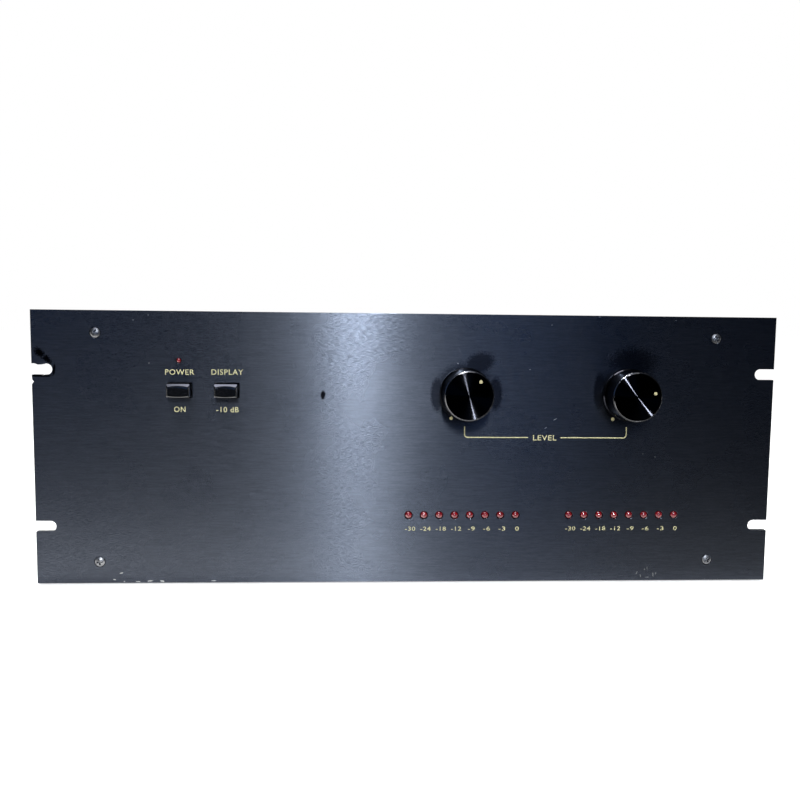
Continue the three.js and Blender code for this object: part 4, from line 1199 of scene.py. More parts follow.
@dataclass(frozen=True)
class Studio:
    """White surroundings, a pale floor that keeps the shadow, and plain soft lamps."""

    floor_size: float = 30.0
    floor_lift: float = 0.56
    ambient: float = 0.55
    white: Colour = (1.0, 1.0, 1.0)
    floor_paint: Colour = (0.86, 0.86, 0.85)
    window: Softbox = Softbox(
        "window", (-0.035, -2.377, 1.300), (0.0, 0.0, 0.09), 0.07, 0.55, 54.0, (0.86, 0.93, 1.0),
    )
    overhead: Softbox = Softbox("overhead", (-0.12, 0.05, 1.5), (0.0, 0.0, 0.1), 0.9, 0.6, 16.0)
    cards: tuple[Card, ...] = (
        Card(
            "room_card", (0.0, -3.6, 4.0), 9.0, 8.0, Lie.UPRIGHT,
            across=(
                (0.0, 0.44), (0.32, 0.51), (0.44, 0.15), (0.5, 0.1), (0.57, 1.1), (0.66, 0.15), (1.0, 0.03),
            ),
            along=((0.0, 1.0), (0.12, 1.0), (0.2, 0.45), (0.5, 0.45), (0.7, 0.2), (1.0, 0.1)),
            colour=(0.17, 0.4, 1.0),
        ),
        Card(
            "table_card", (0.0, -0.46, 0.001), 3.0, 0.6, Lie.LEVEL,
            across=(
                (0.0, 2.55), (0.42, 2.65), (0.46, 2.15), (0.485, 1.9), (0.51, 0.9), (0.56, 0.85),
                (0.64, 0.48), (1.0, 0.42),
            ),
            along=((0.0, 0.0), (0.75, 0.0), (0.9, 1.0), (1.0, 1.0)), colour=(1.0, 1.0, 0.97),
        ),
        Card(
            "far_floor_card", (0.0, -2.26, 0.0005), 9.0, 3.0, Lie.LEVEL,
            across=((0.0, 0.04), (1.0, 0.02)), along=((0.0, 1.0), (1.0, 1.0)), colour=(0.5, 0.7, 1.0),
        ),
        Card(
            "ceiling_card", (-0.3, -1.15, 2.6), 1.1, 0.8, Lie.LEVEL,
            across=((0.0, 0.0), (0.15, 5.0), (0.85, 5.0), (1.0, 0.0)),
            along=((0.0, 0.3), (0.2, 1.0), (1.0, 1.0)), colour=(0.76, 0.8, 1.0),
        ),
        Card(
            "left_wall_card", (-3.0, -1.2, 3.95), 4.8, 8.0, Lie.SIDEWAYS,
            across=((0.0, 1.0), (1.0, 1.0)), along=((0.0, 0.05), (1.0, 0.05)),
            colour=(0.9, 0.95, 1.0),
        ),
        Card(
            "right_wall_card", (3.0, -1.2, 3.95), 4.8, 8.0, Lie.SIDEWAYS,
            across=((0.0, 1.0), (1.0, 1.0)), along=((0.0, 0.04), (1.0, 0.04)), colour=(0.8, 0.9, 1.0),
        ),
    )

    def build(self) -> None:
        """Makes the world, the floor, the lamps and the cards."""
        self.world()
        self.floor()
        self.window.build()
        self.overhead.build()
        for card in self.cards:
            card.build()
        bpy.context.scene.view_settings.view_transform = "Standard"

    def seen(self, tree: Tree) -> NodeSocket:
        """Adds what tells the rays that show the surroundings from those that only light.

        Args:
            tree: where it is added.

        Returns:
            1 for camera, glossy and transmission rays, else 0.
        """
        ray = tree.node("ShaderNodeLightPath")
        straight = tree.maths("MAXIMUM", ray.outputs["Is Camera Ray"], ray.outputs["Is Glossy Ray"])
        return tree.maths("MAXIMUM", straight, ray.outputs["Is Transmission Ray"])

    def world(self) -> None:
        """White where it is seen, dimmer where it lights."""
        world = bpy.data.worlds.new("white_room")
        bpy.context.scene.world = world
        world.use_nodes = True
        world.node_tree.nodes.clear()
        tree = Tree(world.node_tree)
        strength = tree.stretch(self.seen(tree), 0.0, 1.0, self.ambient, 1.0)
        sky = tree.out("ShaderNodeBackground", {"Color": self.white, "Strength": strength})
        tree.node("ShaderNodeOutputWorld", {"Surface": sky})

    def floor(self) -> None:
        """Pale floor: what the lamps leave white, and a shadow under the object."""
        shape = bmesh.new()
        bmesh.ops.create_grid(shape, x_segments=1, y_segments=1, size=self.floor_size / 2)
        floor = new_piece("floor", mesh_of(shape, "floor"))
        material, tree = blank_material("pale_floor")
        paint = tree.out("ShaderNodeBsdfDiffuse", {"Color": self.floor_paint})
        lift = tree.times(self.seen(tree), self.floor_lift)
        glow = tree.out("ShaderNodeEmission", {"Color": self.white, "Strength": lift})
        both = tree.out("ShaderNodeAddShader", {0: paint, 1: glow})
        tree.node("ShaderNodeOutputMaterial", {"Surface": both})
        floor.data.materials.append(material)


# Front of the amplifier


@dataclass(frozen=True)
class Caption:
    """A word at a control: its place from the control's middle and from the panel's foot."""

    words: str
    control: str
    shift: float
    rise: float
    width: float


@dataclass
class FrontPanel:
    """The brushed rack panel with its holes, slots, countersinks and printed legends."""

    finish: Finishes
    slot_height: float = 7.1 * MM
    slot_depth: float = 12.9 * MM
    slot_spacing: float = 101.6 * MM
    edge: float = 0.25 * MM
    button_gap: float = 0.6 * MM
    lamp_gap: float = 0.15 * MM
    power_hole: float = 1.75 * MM
    bushing_hole: float = 5.05 * MM
    sink_radius: float = 3.65 * MM
    shank_radius: float = 2.0 * MM
    sink_depth: float = 1.9 * MM
    lamp_radius: float = 2.5 * MM
    notch: tuple[Point, ...] = ((0.0, 130.9 * MM), (1.3 * MM, 132.5 * MM), (0.3 * MM, 133.9 * MM))
    nick: tuple[Point, ...] = ((5.8 * MM, 0.0), (6.9 * MM, -0.9 * MM), (8.0 * MM, 0.0))
    sag: tuple[Point, ...] = (
        (8.0 * MM, 0.0), (6.8 * MM, -0.6 * MM), (4.0 * MM, -0.75 * MM), (2.7 * MM, -0.2 * MM),
        (1.5 * MM, 0.1 * MM),
    )
    corner: float = 0.5 * MM
    ink: float = 0.03 * MM
    ink_sunk: float = 0.05 * MM
    capital: float = 3.5 * MM
    captions: tuple[Caption, ...] = (
        Caption("POWER", "power_button", 0.0, 138.1 * MM, 18.5 * MM),
        Caption("ON", "power_button", -0.25 * MM, 114.1 * MM, 7.3 * MM),
        Caption("DISPLAY", "display_button", 0.2 * MM, 138.3 * MM, 20.2 * MM),
        Caption("-10 dB", "display_button", 0.2 * MM, 114.1 * MM, 14.2 * MM),
    )
    scale: tuple[str, ...] = ("-30", "-24", "-18", "-12", "-9", "-6", "-3", "0")
    scale_shift: float = 1.2 * MM
    scale_rise: float = 35.75 * MM
    numeral: float = 2.75 * MM
    numeral_step: float = 0.78
    numeral_more: float = 0.1
    line: float = 0.65 * MM
    line_rise: float = 96.7 * MM
    line_ends: Point = (77.6 * MM, 99.2 * MM)
    tick_rise: float = 103.9 * MM
    tick_bend: float = 2.0 * MM
    level_place: Point = (88.7 * MM, 96.55 * MM)
    level_width: float = 15.6 * MM
    dot_radius: float = 1.15 * MM
    dot_shifts: Point = (-8.9 * MM, -9.3 * MM)
    dot_rises: Point = (109.2 * MM, 109.1 * MM)
    box: Box = field(default_factory=lambda: Box.of("front_panel"))

    def build(self) -> None:
        """Makes the plate and everything printed on it."""
        self.plate()
        self.legends()
        self.scales()
        self.level_bracket()

    def slotted_side(self, right: int) -> list[Point]:
        """Points of one end of the panel, from its bottom corner up, with two open-ended slots.

        Args:
            right: 1 for the right end, -1 for the left one, whose upper slot and edge are knocked about.

        Returns:
            The points.
        """
        end = right * self.box.high.x
        middle = self.box.middle.z
        points: list[Point] = [(end, self.box.low.z)]
        radius = self.slot_height / 2
        for up in (-1, 1):
            z = middle + up * self.slot_spacing / 2
            inner = self.box.high.x - self.slot_depth + radius
            bow = [(right * x, y) for x, y in arc((inner, z), radius, 270, 90, 16)]
            battered = right < 0 < up
            if battered:
                points += [(end + x, y) for x, y in self.notch]
                bow = [(end + x, z - radius + y) for x, y in self.nick] + bow
                bow += [(end + x, z + radius + y) for x, y in self.sag]
            points += [(end, z - radius), *bow, (end, z + radius)]
        return points + [(end, self.box.high.z)]

    def plate(self) -> None:
        """The plate: outline, holes, broken edges and four countersinks."""
        outlines = [self.slotted_side(1) + self.slotted_side(-1)[::-1]]
        for use in BUTTONS:
            button = Box.of(f"{use}_button")
            place, gap = (button.middle.x, button.middle.z), 2 * self.button_gap
            outlines.append(rectangle(place, button.size.x + gap, button.size.z + gap, self.corner))
        for side in SIDES:
            knob = Box.of(f"{side}_level_knob").middle
            outlines.append(circle((knob.x, knob.z), self.bushing_hole))
            for i in range(1, len(self.scale) + 1):
                lamp = Box.of(f"{side}_meter_led_{i}").middle
                outlines.append(circle((lamp.x, lamp.z), self.lamp_radius + self.lamp_gap, 32))
        lamp = Box.of("power_led").middle
        outlines.append(circle((lamp.x, lamp.z), self.power_hole, 32))
        panel = sawn("front_plate", outlines, self.box.size.y, self.edge)
        sinks = []
        foot = -self.box.size.y - BEYOND
        profile = [
            (0, BEYOND), (self.sink_radius + BEYOND, BEYOND), (self.sink_radius, 0),
            (self.shank_radius, -self.sink_depth), (self.shank_radius, foot), (0, foot),
        ]
        for screw in panel_screw_nodes():
            place = Box.of(screw).middle
            sinks.append(stood(turned("sink", profile, 48), Facing.UP, (place.x, place.z, 0)))
        panel = stood(carved(panel, joined("sinks", sinks)), Facing.FRONT, (0, self.box.low.y, 0))
        dress(panel, CHASSIS, Slot.PANEL, self.finish.panel, "front_panel")

    def printed(self, name: str, parts: list[Object], material: Material) -> None:
        """Lays flat print on the panel's face."""
        print_piece = stood(joined(name, parts), Facing.FRONT, (0, self.box.low.y - self.ink, 0))
        dress(print_piece, CHASSIS, Slot.GILT, material)

    def words(self, text: str, middle: Point, height: float, width: float = 0) -> Object:
        """One line of print."""
        return lettered("words", text, height, width, middle, self.ink + self.ink_sunk)

    def legends(self) -> None:
        """What the two buttons and the lamp are for."""
        parts = []
        for line in self.captions:
            place = (Box.of(line.control).middle.x + line.shift, self.box.low.z + line.rise)
            parts.append(self.words(line.words, place, self.capital, line.width))
        self.printed("switch_legends", parts, self.finish.gilt)

    def scales(self) -> None:
        """A number under each meter lamp."""
        for side in SIDES:
            parts = []
            for i, number in enumerate(self.scale):
                lamp = Box.of(f"{side}_meter_led_{i + 1}").middle
                width = self.numeral * (self.numeral_step * len(number) + self.numeral_more)
                place = (lamp.x + self.scale_shift, self.box.low.z + self.scale_rise)
                parts.append(self.words(number, place, self.numeral, width))
            self.printed(f"{side}_meter_scale", parts, self.finish.gilt)

    def level_bracket(self) -> None:
        """The line that ties both level knobs to one word, and the dot where each knob starts."""
        base = self.box.low.z
        top, low = base + self.tick_rise, base + self.line_rise
        half, bend = self.line / 2, self.tick_bend
        depth = self.ink + self.ink_sunk
        across, rise = self.level_place
        parts = [self.words("LEVEL", (across, base + rise), self.capital, self.level_width)]
        rounds = []
        for way, side, end, shift, rise in zip(
            (1, -1), SIDES, self.line_ends, self.dot_shifts, self.dot_rises,
        ):
            knob = Box.of(f"{side}_level_knob").middle.x
            corner = (bend, low + bend)
            outer = arc(corner, bend + half, 180, 270, 8)
            inner = arc(corner, bend - half, 270, 180, 8)
            run = way * (end - knob)
            hook = [(-half, top), *outer, (run, low - half), (run, low + half), *inner, (half, top)]
            parts.append(sawn("hook", [[(knob + way * x, z) for x, z in hook]], depth))
            rounds.append(sawn("dot", [circle((knob + shift, base + rise), self.dot_radius, 32)], depth))
        self.printed("level_bracket", parts, self.finish.gilt)
        self.printed("level_start_dots", rounds, self.finish.dot)


def panel_screw_nodes() -> list[str]:
    """Names of the four panel screws."""
    return [f"{height}_{side}_panel_screw" for height in ("lower", "upper") for side in SIDES]


@dataclass
class LevelKnob:
    """A turned aluminium knob: black sides, a finely turned face and a sunk cream dot."""

    finish: Finishes
    side: str
    turn: float
    skirt_radius: float = 17.1 * MM
    rim_radius: float = 15.9 * MM
    face_radius: float = 15.1 * MM
    groove_pitch: float = 0.42 * MM
    groove_slope: float = 19.4 * DEGREE
    skirt_height: float = 2.6 * MM
    skirt_soft: float = 0.25 * MM
    shoulder: tuple[Point, ...] = (
        (-0.9 * MM, 1.0 * MM), (-0.7 * MM, 0.5 * MM), (-0.2 * MM, 0.0), (0.0, -0.3 * MM),
    )
    edge_drop: float = 0.32 * MM
    hollow_radius: float = 12.0 * MM
    hollow_depth: float = 8.2 * MM
    boss_radius: float = 6.5 * MM
    boss_sink: float = 3.8 * MM
    bore_radius: float = 3.3 * MM
    bore_depth: float = 10.6 * MM
    dot_place: float = 11.62 * MM
    dot_radius: float = 1.15 * MM
    dot_depth: float = 0.4 * MM
    paint_gap: float = 0.02 * MM
    paint: float = 0.2 * MM
    paint_edge: float = 0.05 * MM
    paint_sunk: float = 0.15 * MM
    forward: float = 0.6
    sides: int = 96

    def profile(self, length: float) -> list[Point]:
        """Section from the middle of the face out, back along the side and into the hollow.

        Args:
            length: from the skirt's back to the face.

        Returns:
            The points.
        """
        count = int(self.face_radius / self.groove_pitch)
        pitch = self.face_radius / count
        sunk = length - pitch / 2 * math.tan(self.groove_slope)
        grooves = [(pitch * i / 2, length if i % 2 else sunk) for i in range(2 * count)]
        edge = length - self.edge_drop
        soft = self.rim_radius - self.face_radius - self.edge_drop
        return [
            *grooves, (self.face_radius, length), (self.face_radius + self.edge_drop, edge),
            *arc((self.rim_radius - soft, edge - soft), soft, 60, 0, 4),
            *((self.skirt_radius + out, self.skirt_height + up) for out, up in self.shoulder),
            (self.skirt_radius, self.skirt_soft), (self.skirt_radius - self.skirt_soft, 0),
            (self.hollow_radius, 0),
            (self.hollow_radius, self.hollow_depth), (self.boss_radius, self.hollow_depth),
            (self.boss_radius, self.boss_sink), (self.bore_radius, self.boss_sink),
            (self.bore_radius, self.bore_depth), (0, self.bore_depth + BEYOND),
        ]

    def build(self) -> None:
        """Makes the knob and its dot."""
        box = Box.of(f"{self.side}_level_knob")
        length = box.size.y
        back = (box.middle.x, box.high.y, box.middle.z)
        knob = turned(f"{self.side}_knob", self.profile(length), self.sides, smooth=self.groove_slope)
        spot = (self.dot_place * math.sin(self.turn), self.dot_place * math.cos(self.turn))
        rim = circle(spot, self.dot_radius, 32)
        well = sawn("well", [rim], 2 * self.dot_depth, top=length + self.dot_depth)
        knob = stood(carved(knob, well, smooth=1.5 * self.groove_slope), Facing.FRONT, back)
        for material in (self.finish.knob_side, self.finish.knob_face, self.finish.knob_edge):
            knob.data.materials.append(material)
        for polygon in knob.data.polygons:
            away = math.hypot(polygon.center.x - back[0], polygon.center.z - back[2])
            if polygon.normal.y < -self.forward:
                polygon.material_index = 1 if away < self.face_radius else 2 if away < self.rim_radius else 0
        dress(knob, f"{self.side}_control", Slot.KNOB, self.finish.knob_side, f"{self.side}_level_knob")
        rim = circle(spot, self.dot_radius - self.paint_gap, 32)
        paint = sawn(f"{self.side}_knob_dot", [rim], self.paint, self.paint_edge)
        stood(paint, Facing.FRONT, (back[0], box.low.y + self.paint_sunk, back[2]))
        dress(paint, f"{self.side}_control", Slot.GILT, self.finish.dot)


@dataclass
class PushButton:
    """A glossy cap on its stem, hollowed like part of a drum, its upper bevel wider than the others."""

    finish: Finishes
    use: str
    upper_bevel: float = 2.5 * MM
    upper_slope: float = 34.0 * DEGREE
    bevel: float = 0.85 * MM
    side_bevel: float = 0.8 * MM
    slope: float = 45.0 * DEGREE
    hollow: float = 0.55 * MM
    soft: float = 0.12 * MM
    corner: float = 0.6 * MM
    stem_width: float = 5.0 * MM
    stem_height: float = 4.0 * MM
    stem_reach: float = 20.0 * MM
    stem_sunk: float = 0.5 * MM
    stem_edge: float = 0.2 * MM
    crease: float = 30.0 * DEGREE
    across: int = 84
    up: int = 52

    def crown(self, x: float, z: float, half_width: float, half_height: float) -> float:
        """Depth of the hollow and of the bevels, blended where they meet.

        Args:
            x: the place across, from the middle.
            z: the place up, from the middle.
            half_width: of the cap.
            half_height: of the cap.

        Returns:
            How far the face lies behind its foremost plane there.
        """
        hollow = self.hollow * max(0.0, 1 - (x / (half_width - self.side_bevel)) ** 2)
        bevels = (
            (self.upper_bevel - (half_height - z)) * math.tan(self.upper_slope),
            (self.bevel - (half_height + z)) * math.tan(self.slope),
            (self.side_bevel - (half_width - abs(x))) * math.tan(self.slope),
        )
        deepest = max(hollow, *bevels)
        blend = sum(math.exp((level - deepest) / self.soft) for level in (hollow, *bevels))
        return deepest + self.soft * math.log(blend)

    def cap(self, half_width: float, half_height: float, depth: float) -> Object:
        """The cap alone: its curved face, four straight sides and a flat back at height 0.

        Args:
            half_width: of the cap.
            half_height: of the cap.
            depth: from its back to the foremost plane of its face.

        Returns:
            The cap.
        """
        shape = bmesh.new()
        rows = []
        for j in range(self.up + 1):
            z = half_height * math.sin(math.pi / 2 * (2 * j / self.up - 1))
            row = []
            for i in range(self.across + 1):
                x = half_width * math.sin(math.pi / 2 * (2 * i / self.across - 1))
                near_side = max(0.0, (abs(x) - half_width + self.corner) / self.corner)
                inset = self.corner * (1 - math.sqrt(max(0.0, 1 - near_side ** 2)))
                up = max(-half_height + inset, min(half_height - inset, z))
                row.append(shape.verts.new((x, up, depth - self.crown(x, z, half_width, half_height))))
            rows.append(row)
        for low, high in zip(rows, rows[1:]):
            for i in range(self.across):
                shape.faces.new((low[i], low[i + 1], high[i + 1], high[i]))
        rim = [edge for edge in shape.edges if len(edge.link_faces) == 1]
        for part in bmesh.ops.extrude_edge_only(shape, edges=rim)["geom"]:
            if isinstance(part, bmesh.types.BMVert):
                part.co.z = 0
        bmesh.ops.contextual_create(shape, geom=[e for e in shape.edges if len(e.link_faces) == 1])
        return finished(shape, f"{self.use}_cap", self.crease)

    def build(self) -> None:
        """Makes the cap and its stem."""
        box = Box.of(f"{self.use}_button")
        cap_depth = box.size.y - self.stem_reach
        cap = self.cap(box.size.x / 2, box.size.z / 2, cap_depth)
        section = rectangle((0, 0), self.stem_width, self.stem_height)
        stem = sawn("stem", [section], self.stem_reach + self.stem_sunk, self.stem_edge, self.stem_sunk)
        piece = carved(cap, stem, Carve.JOIN)
        stood(piece, Facing.FRONT, (box.middle.x, box.low.y + cap_depth, box.middle.z))
        dress(piece, f"{self.use}_push", Slot.GLOSS, self.finish.gloss, f"{self.use}_button")


@dataclass
class Lamps:
    """The power lamp and both rows of meter lamps."""

    finish: Finishes
    count: int = 8
    meter_radius: float = 2.5 * MM
    power_radius: float = 1.45 * MM
    flange: float = 0.4 * MM
    flange_thickness: float = 1.0 * MM
    body: float = 8.6 * MM
    power_body: float = 8.0 * MM
    lead_width: float = 0.6 * MM
    lead_spacing: float = 2.54 * MM

    def lamp(self, name: str, radius: float, proud: float, body: float) -> Object:
        """One lamp with its dome towards the front, height 0 at the panel's face.

        Args:
            name: the piece's name.
            radius: of its dome.
            proud: how far the dome stands out of the panel.
            body: its whole length.

        Returns:
            The lamp.
        """
        shoulder = proud - radius
        dome = arc((0, shoulder), radius, 90, 0, 12)
        dome[0] = (0, proud)
        back = proud - body
        profile = dome + [
            (radius, back + self.flange_thickness), (radius + self.flange, back + self.flange_thickness),
            (radius + self.flange, back), (0, back),
        ]
        return turned(name, profile, 40)

    def lead_pair(self, back: float, reach: float) -> Object:
        """Both leads of a lamp.

        Args:
            back: height of the lamp's back, where they leave it.
            reach: their length.

        Returns:
            The leads, as one piece.
        """
        places = [(side * self.lead_spacing / 2, 0) for side in (-1, 1)]
        squares = [rectangle(place, self.lead_width, self.lead_width) for place in places]
        return joined("lead_pair", [sawn("lead", [square], reach, top=back) for square in squares])

    def build(self) -> None:
        """Makes the lamps."""
        face = Box.of("front_panel").low.y
        for side in SIDES:
            nodes = [f"{side}_meter_led_{i + 1}" for i in range(self.count)]
            first, last = Box.of(nodes[0]), Box.of(nodes[-1])
            proud = face - first.low.y
            lamp = self.lamp("lamp", self.meter_radius, proud, self.body)
            leads = self.lead_pair(proud - self.body, first.high.y - face + proud - self.body)
            step = (last.middle.x - first.middle.x) / (self.count - 1)
            start = (first.middle.x, face, first.middle.z)
            for source, label, slot, finish, stood_for in (
                (lamp, f"{side}_meter_lamps", Slot.LENS, self.finish.lens, nodes),
                (leads, f"{side}_meter_leads", Slot.SCREW, self.finish.screw, []),
            ):
                stood(source, Facing.FRONT, (0, 0, 0))
                piece = in_row(label, source, self.count, start, (step, 0.0, 0.0), finish)
                dress(piece, CHASSIS, slot, finish, *stood_for)
        box = Box.of("power_led")
        proud = face - box.low.y
        lamp = self.lamp("power_lamp", self.power_radius, proud, self.power_body)
        back = proud - self.power_body
        leads = self.lead_pair(back, box.high.y - face + back)
        leads.name = "power_lamp_leads"
        for piece, slot, finish, stood_for in (
            (lamp, Slot.LENS, self.finish.lens, ["power_led"]), (leads, Slot.SCREW, self.finish.screw, []),
        ):
            stood(piece, Facing.FRONT, (box.middle.x, face, box.middle.z))
            dress(piece, CHASSIS, slot, finish, *stood_for)


# Geometry Nodes


def geometry_tree(name: str, inputs: dict[str, str]) -> tuple[Tree, Sockets, Sockets]:
    """Starts a geometry tree with named inputs, the first the geometry and the last the material.

    Args:
        name: the tree's name.
        inputs: the names of its other inputs and what they hold.

    Returns:
        The tree, the sockets that come in and those that go out.
    """
    group = bpy.data.node_groups.new(name, "GeometryNodeTree")
    for label, kind in {"Geometry": "Geometry", **inputs, "Material": "Material"}.items():
        group.interface.new_socket(label, in_out="INPUT", socket_type=f"NodeSocket{kind}")
    group.interface.new_socket("Geometry", in_out="OUTPUT", socket_type="NodeSocketGeometry")
    tree = Tree(group)
    return tree, tree.node("NodeGroupInput").outputs, tree.node("NodeGroupOutput").inputs


def copies(tree: Tree, part: NodeSocket, points: NodeSocket, **inputs: Value) -> NodeSocket:
    """Adds nodes that put a real copy of an object on each point.

    Args:
        tree: where they are added.
        part: the object.
        points: the points.
        inputs: what else goes into the node that places the copies.

    Returns:
        The copies' geometry.
    """
    shape = tree.node("GeometryNodeObjectInfo", {"Object": part}).outputs["Geometry"]
    placed = tree.out("GeometryNodeInstanceOnPoints", {"Points": points, "Instance": shape, **inputs})
    return tree.out("GeometryNodeRealizeInstances", {0: placed})


def painted(tree: Tree, given: Sockets, result: Sockets, geometry: NodeSocket) -> NodeTree:
    """Ends a geometry tree with its Set Material node.

    Args:
        tree: the tree.
        given: the sockets that come in.
        result: the sockets that go out.
        geometry: what it has made.

    Returns:
        The finished tree.
    """
    inputs = {"Geometry": geometry, "Material": given["Material"]}
    tree.set(result[0], tree.out("GeometryNodeSetMaterial", inputs))
    return tree.tree


@functools.cache
def row_tree(carried: bool) -> NodeTree:
    """Geometry tree: copies of one part along a straight row.

    Args:
        carried: whether they are joined to the solid that comes in.

    Returns:
        The tree.
    """
    inputs = {"Part": "Object", "Count": "Int", "First": "Vector", "Step": "Vector"}
    tree, given, result = geometry_tree("row_on_carrier" if carried else "straight_row", inputs)
    inputs = {"Count": given["Count"], "Start Location": given["First"], "Offset": given["Step"]}
    line = tree.out("GeometryNodeMeshLine", inputs, mode="OFFSET", count_mode="TOTAL")
    geometry = copies(tree, given["Part"], line)
    if carried:
        union = tree.node("GeometryNodeMeshBoolean", operation="UNION", solver="EXACT")
        tree.set(union.inputs[1], given["Geometry"])
        tree.set(union.inputs[1], geometry)
        geometry = union.outputs[0]
    return painted(tree, given, result, geometry)


@functools.cache
def scattered_tree() -> NodeTree:
    """Geometry tree: a copy of one screw on each point, spun by a seeded angle and turned to its face.

    Returns:
        The tree.
    """
    inputs = {"Screw": "Object", "Seed": "Int", "Turn": "Vector"}
    tree, given, result = geometry_tree("screws_on_points", inputs)
    inputs = {2: 0.0, 3: math.pi / 2, "Seed": given["Seed"]}
    spin = tree.node("FunctionNodeRandomValue", inputs, data_type="FLOAT").outputs[1]
    own = tree.out("FunctionNodeEulerToRotation", {0: tree.out("ShaderNodeCombineXYZ", {"Z": spin})})
    face = tree.out("FunctionNodeEulerToRotation", {0: given["Turn"]})
    whole = tree.out("FunctionNodeRotateRotation", {0: face, 1: own}, rotation_space="LOCAL")
    return painted(tree, given, result, copies(tree, given["Screw"], given["Geometry"], Rotation=whole))


@functools.cache
def vent_tree() -> NodeTree:
    """Geometry tree: a grid of slots cut out of a sheet.

    Returns:
        The tree.
    """
    kinds = {"Across": "Int", "Rows": "Int", "Width": "Float", "Length": "Float", "Middle": "Vector"}
    tree, given, result = geometry_tree("vent_grid", {"Slot": "Object", **kinds})
    sizes = {"Size X": "Width", "Size Y": "Length", "Vertices X": "Across", "Vertices Y": "Rows"}
    grid = tree.out("GeometryNodeMeshGrid", {label: given[name] for label, name in sizes.items()})
    moved = tree.out("GeometryNodeTransform", {0: grid, "Translation": given["Middle"]})
    inputs = {"Mesh 1": given["Geometry"], "Mesh 2": copies(tree, given["Slot"], moved)}
    cut = tree.out("GeometryNodeMeshBoolean", inputs, operation="DIFFERENCE", solver="EXACT")
    return painted(tree, given, result, cut)


def grown(name: str, group: NodeTree, values: dict[str, Value], base: Optional[Object] = None) -> Object:
    """Runs a geometry tree and keeps its result as a plain mesh.

    Args:
        name: the new piece's name.
        group: the tree.
        values: its inputs, by name.
        base: the object whose mesh goes in, which is removed, or None for an empty one.

    Returns:
        The new object.
    """
    host = base or new_piece(name, bpy.data.meshes.new(name))
    host.name = name
    modifier = host.modifiers.new("nodes", "NODES")
    modifier.node_group = group
    for item in group.interface.items_tree:
        if item.in_out == "INPUT" and item.name in values:
            modifier[item.identifier] = values[item.name]
    return settled(host)


def in_row(
    name: str, part: Object, count: int, first: Place, step: Place, material: Material,
    carrier: Optional[Object] = None,
) -> Object:
    """Puts copies of a part along a straight row.

    Args:
        name: the new piece's name.
        part: what is copied, which is removed.
        count: how many copies.
        first: where the first stands.
        step: from each to the next.
        material: of the new piece.
        carrier: the solid that they are joined to, which is removed, or None.

    Returns:
        The new object.
    """
    values = {"Part": part, "Count": count, "First": first, "Step": step, "Material": material}
    piece = grown(name, row_tree(carrier is not None), values, carrier)
    bpy.data.objects.remove(part)
    return piece


def screwed(
    name: str, screw: Object, places: Sequence[Place], turn: Place, seed: int, material: Material,
) -> Object:
    """Puts a copy of a screw at each place, stopped at an angle of its own.

    Args:
        name: the new piece's name.
        screw: what is copied, its head up, which is removed.
        places: where the copies stand.
        turn: how they are all turned to their face.
        seed: picks the angles that they stop at.
        material: of the new piece.

    Returns:
        The new object.
    """
    mesh = bpy.data.meshes.new("points")
    mesh.from_pydata(places, [], [])
    values = {"Screw": screw, "Seed": seed, "Turn": turn, "Material": material}
    piece = grown(name, scattered_tree(), values, new_piece("points", mesh))
    bpy.data.objects.remove(screw)
    return piece


@dataclass(frozen=True)
class CrossRecess:
    """The cross in a screw's head, cut down from above its dome and narrower at its foot."""

    dome: float
    length: float
    width: float
    depth: float
    foot_length: float = 0.7
    foot_width: float = 0.8

    def bar(self, turn: float) -> Object:
        """One bar of the cross.

        Args:
            turn: its angle, in degrees.

        Returns:
            The bar.
        """
        shape = bmesh.new()
        bmesh.ops.create_cube(shape, size=1)
        for vertex in shape.verts:
            foot = vertex.co.z < 0
            vertex.co.x *= self.length * (self.foot_length if foot else 1)
            vertex.co.y *= self.width * (self.foot_width if foot else 1)
            vertex.co.z = self.dome - self.depth if foot else self.dome + BEYOND
        bmesh.ops.rotate(shape, verts=shape.verts, matrix=Matrix.Rotation(turn * DEGREE, 3, "Z"))
        return finished(shape, "bar")

    def cut(self, screw: Object) -> Object:
        """Cuts the cross into a screw."""
        return carved(screw, carved(self.bar(0), self.bar(90), Carve.JOIN))


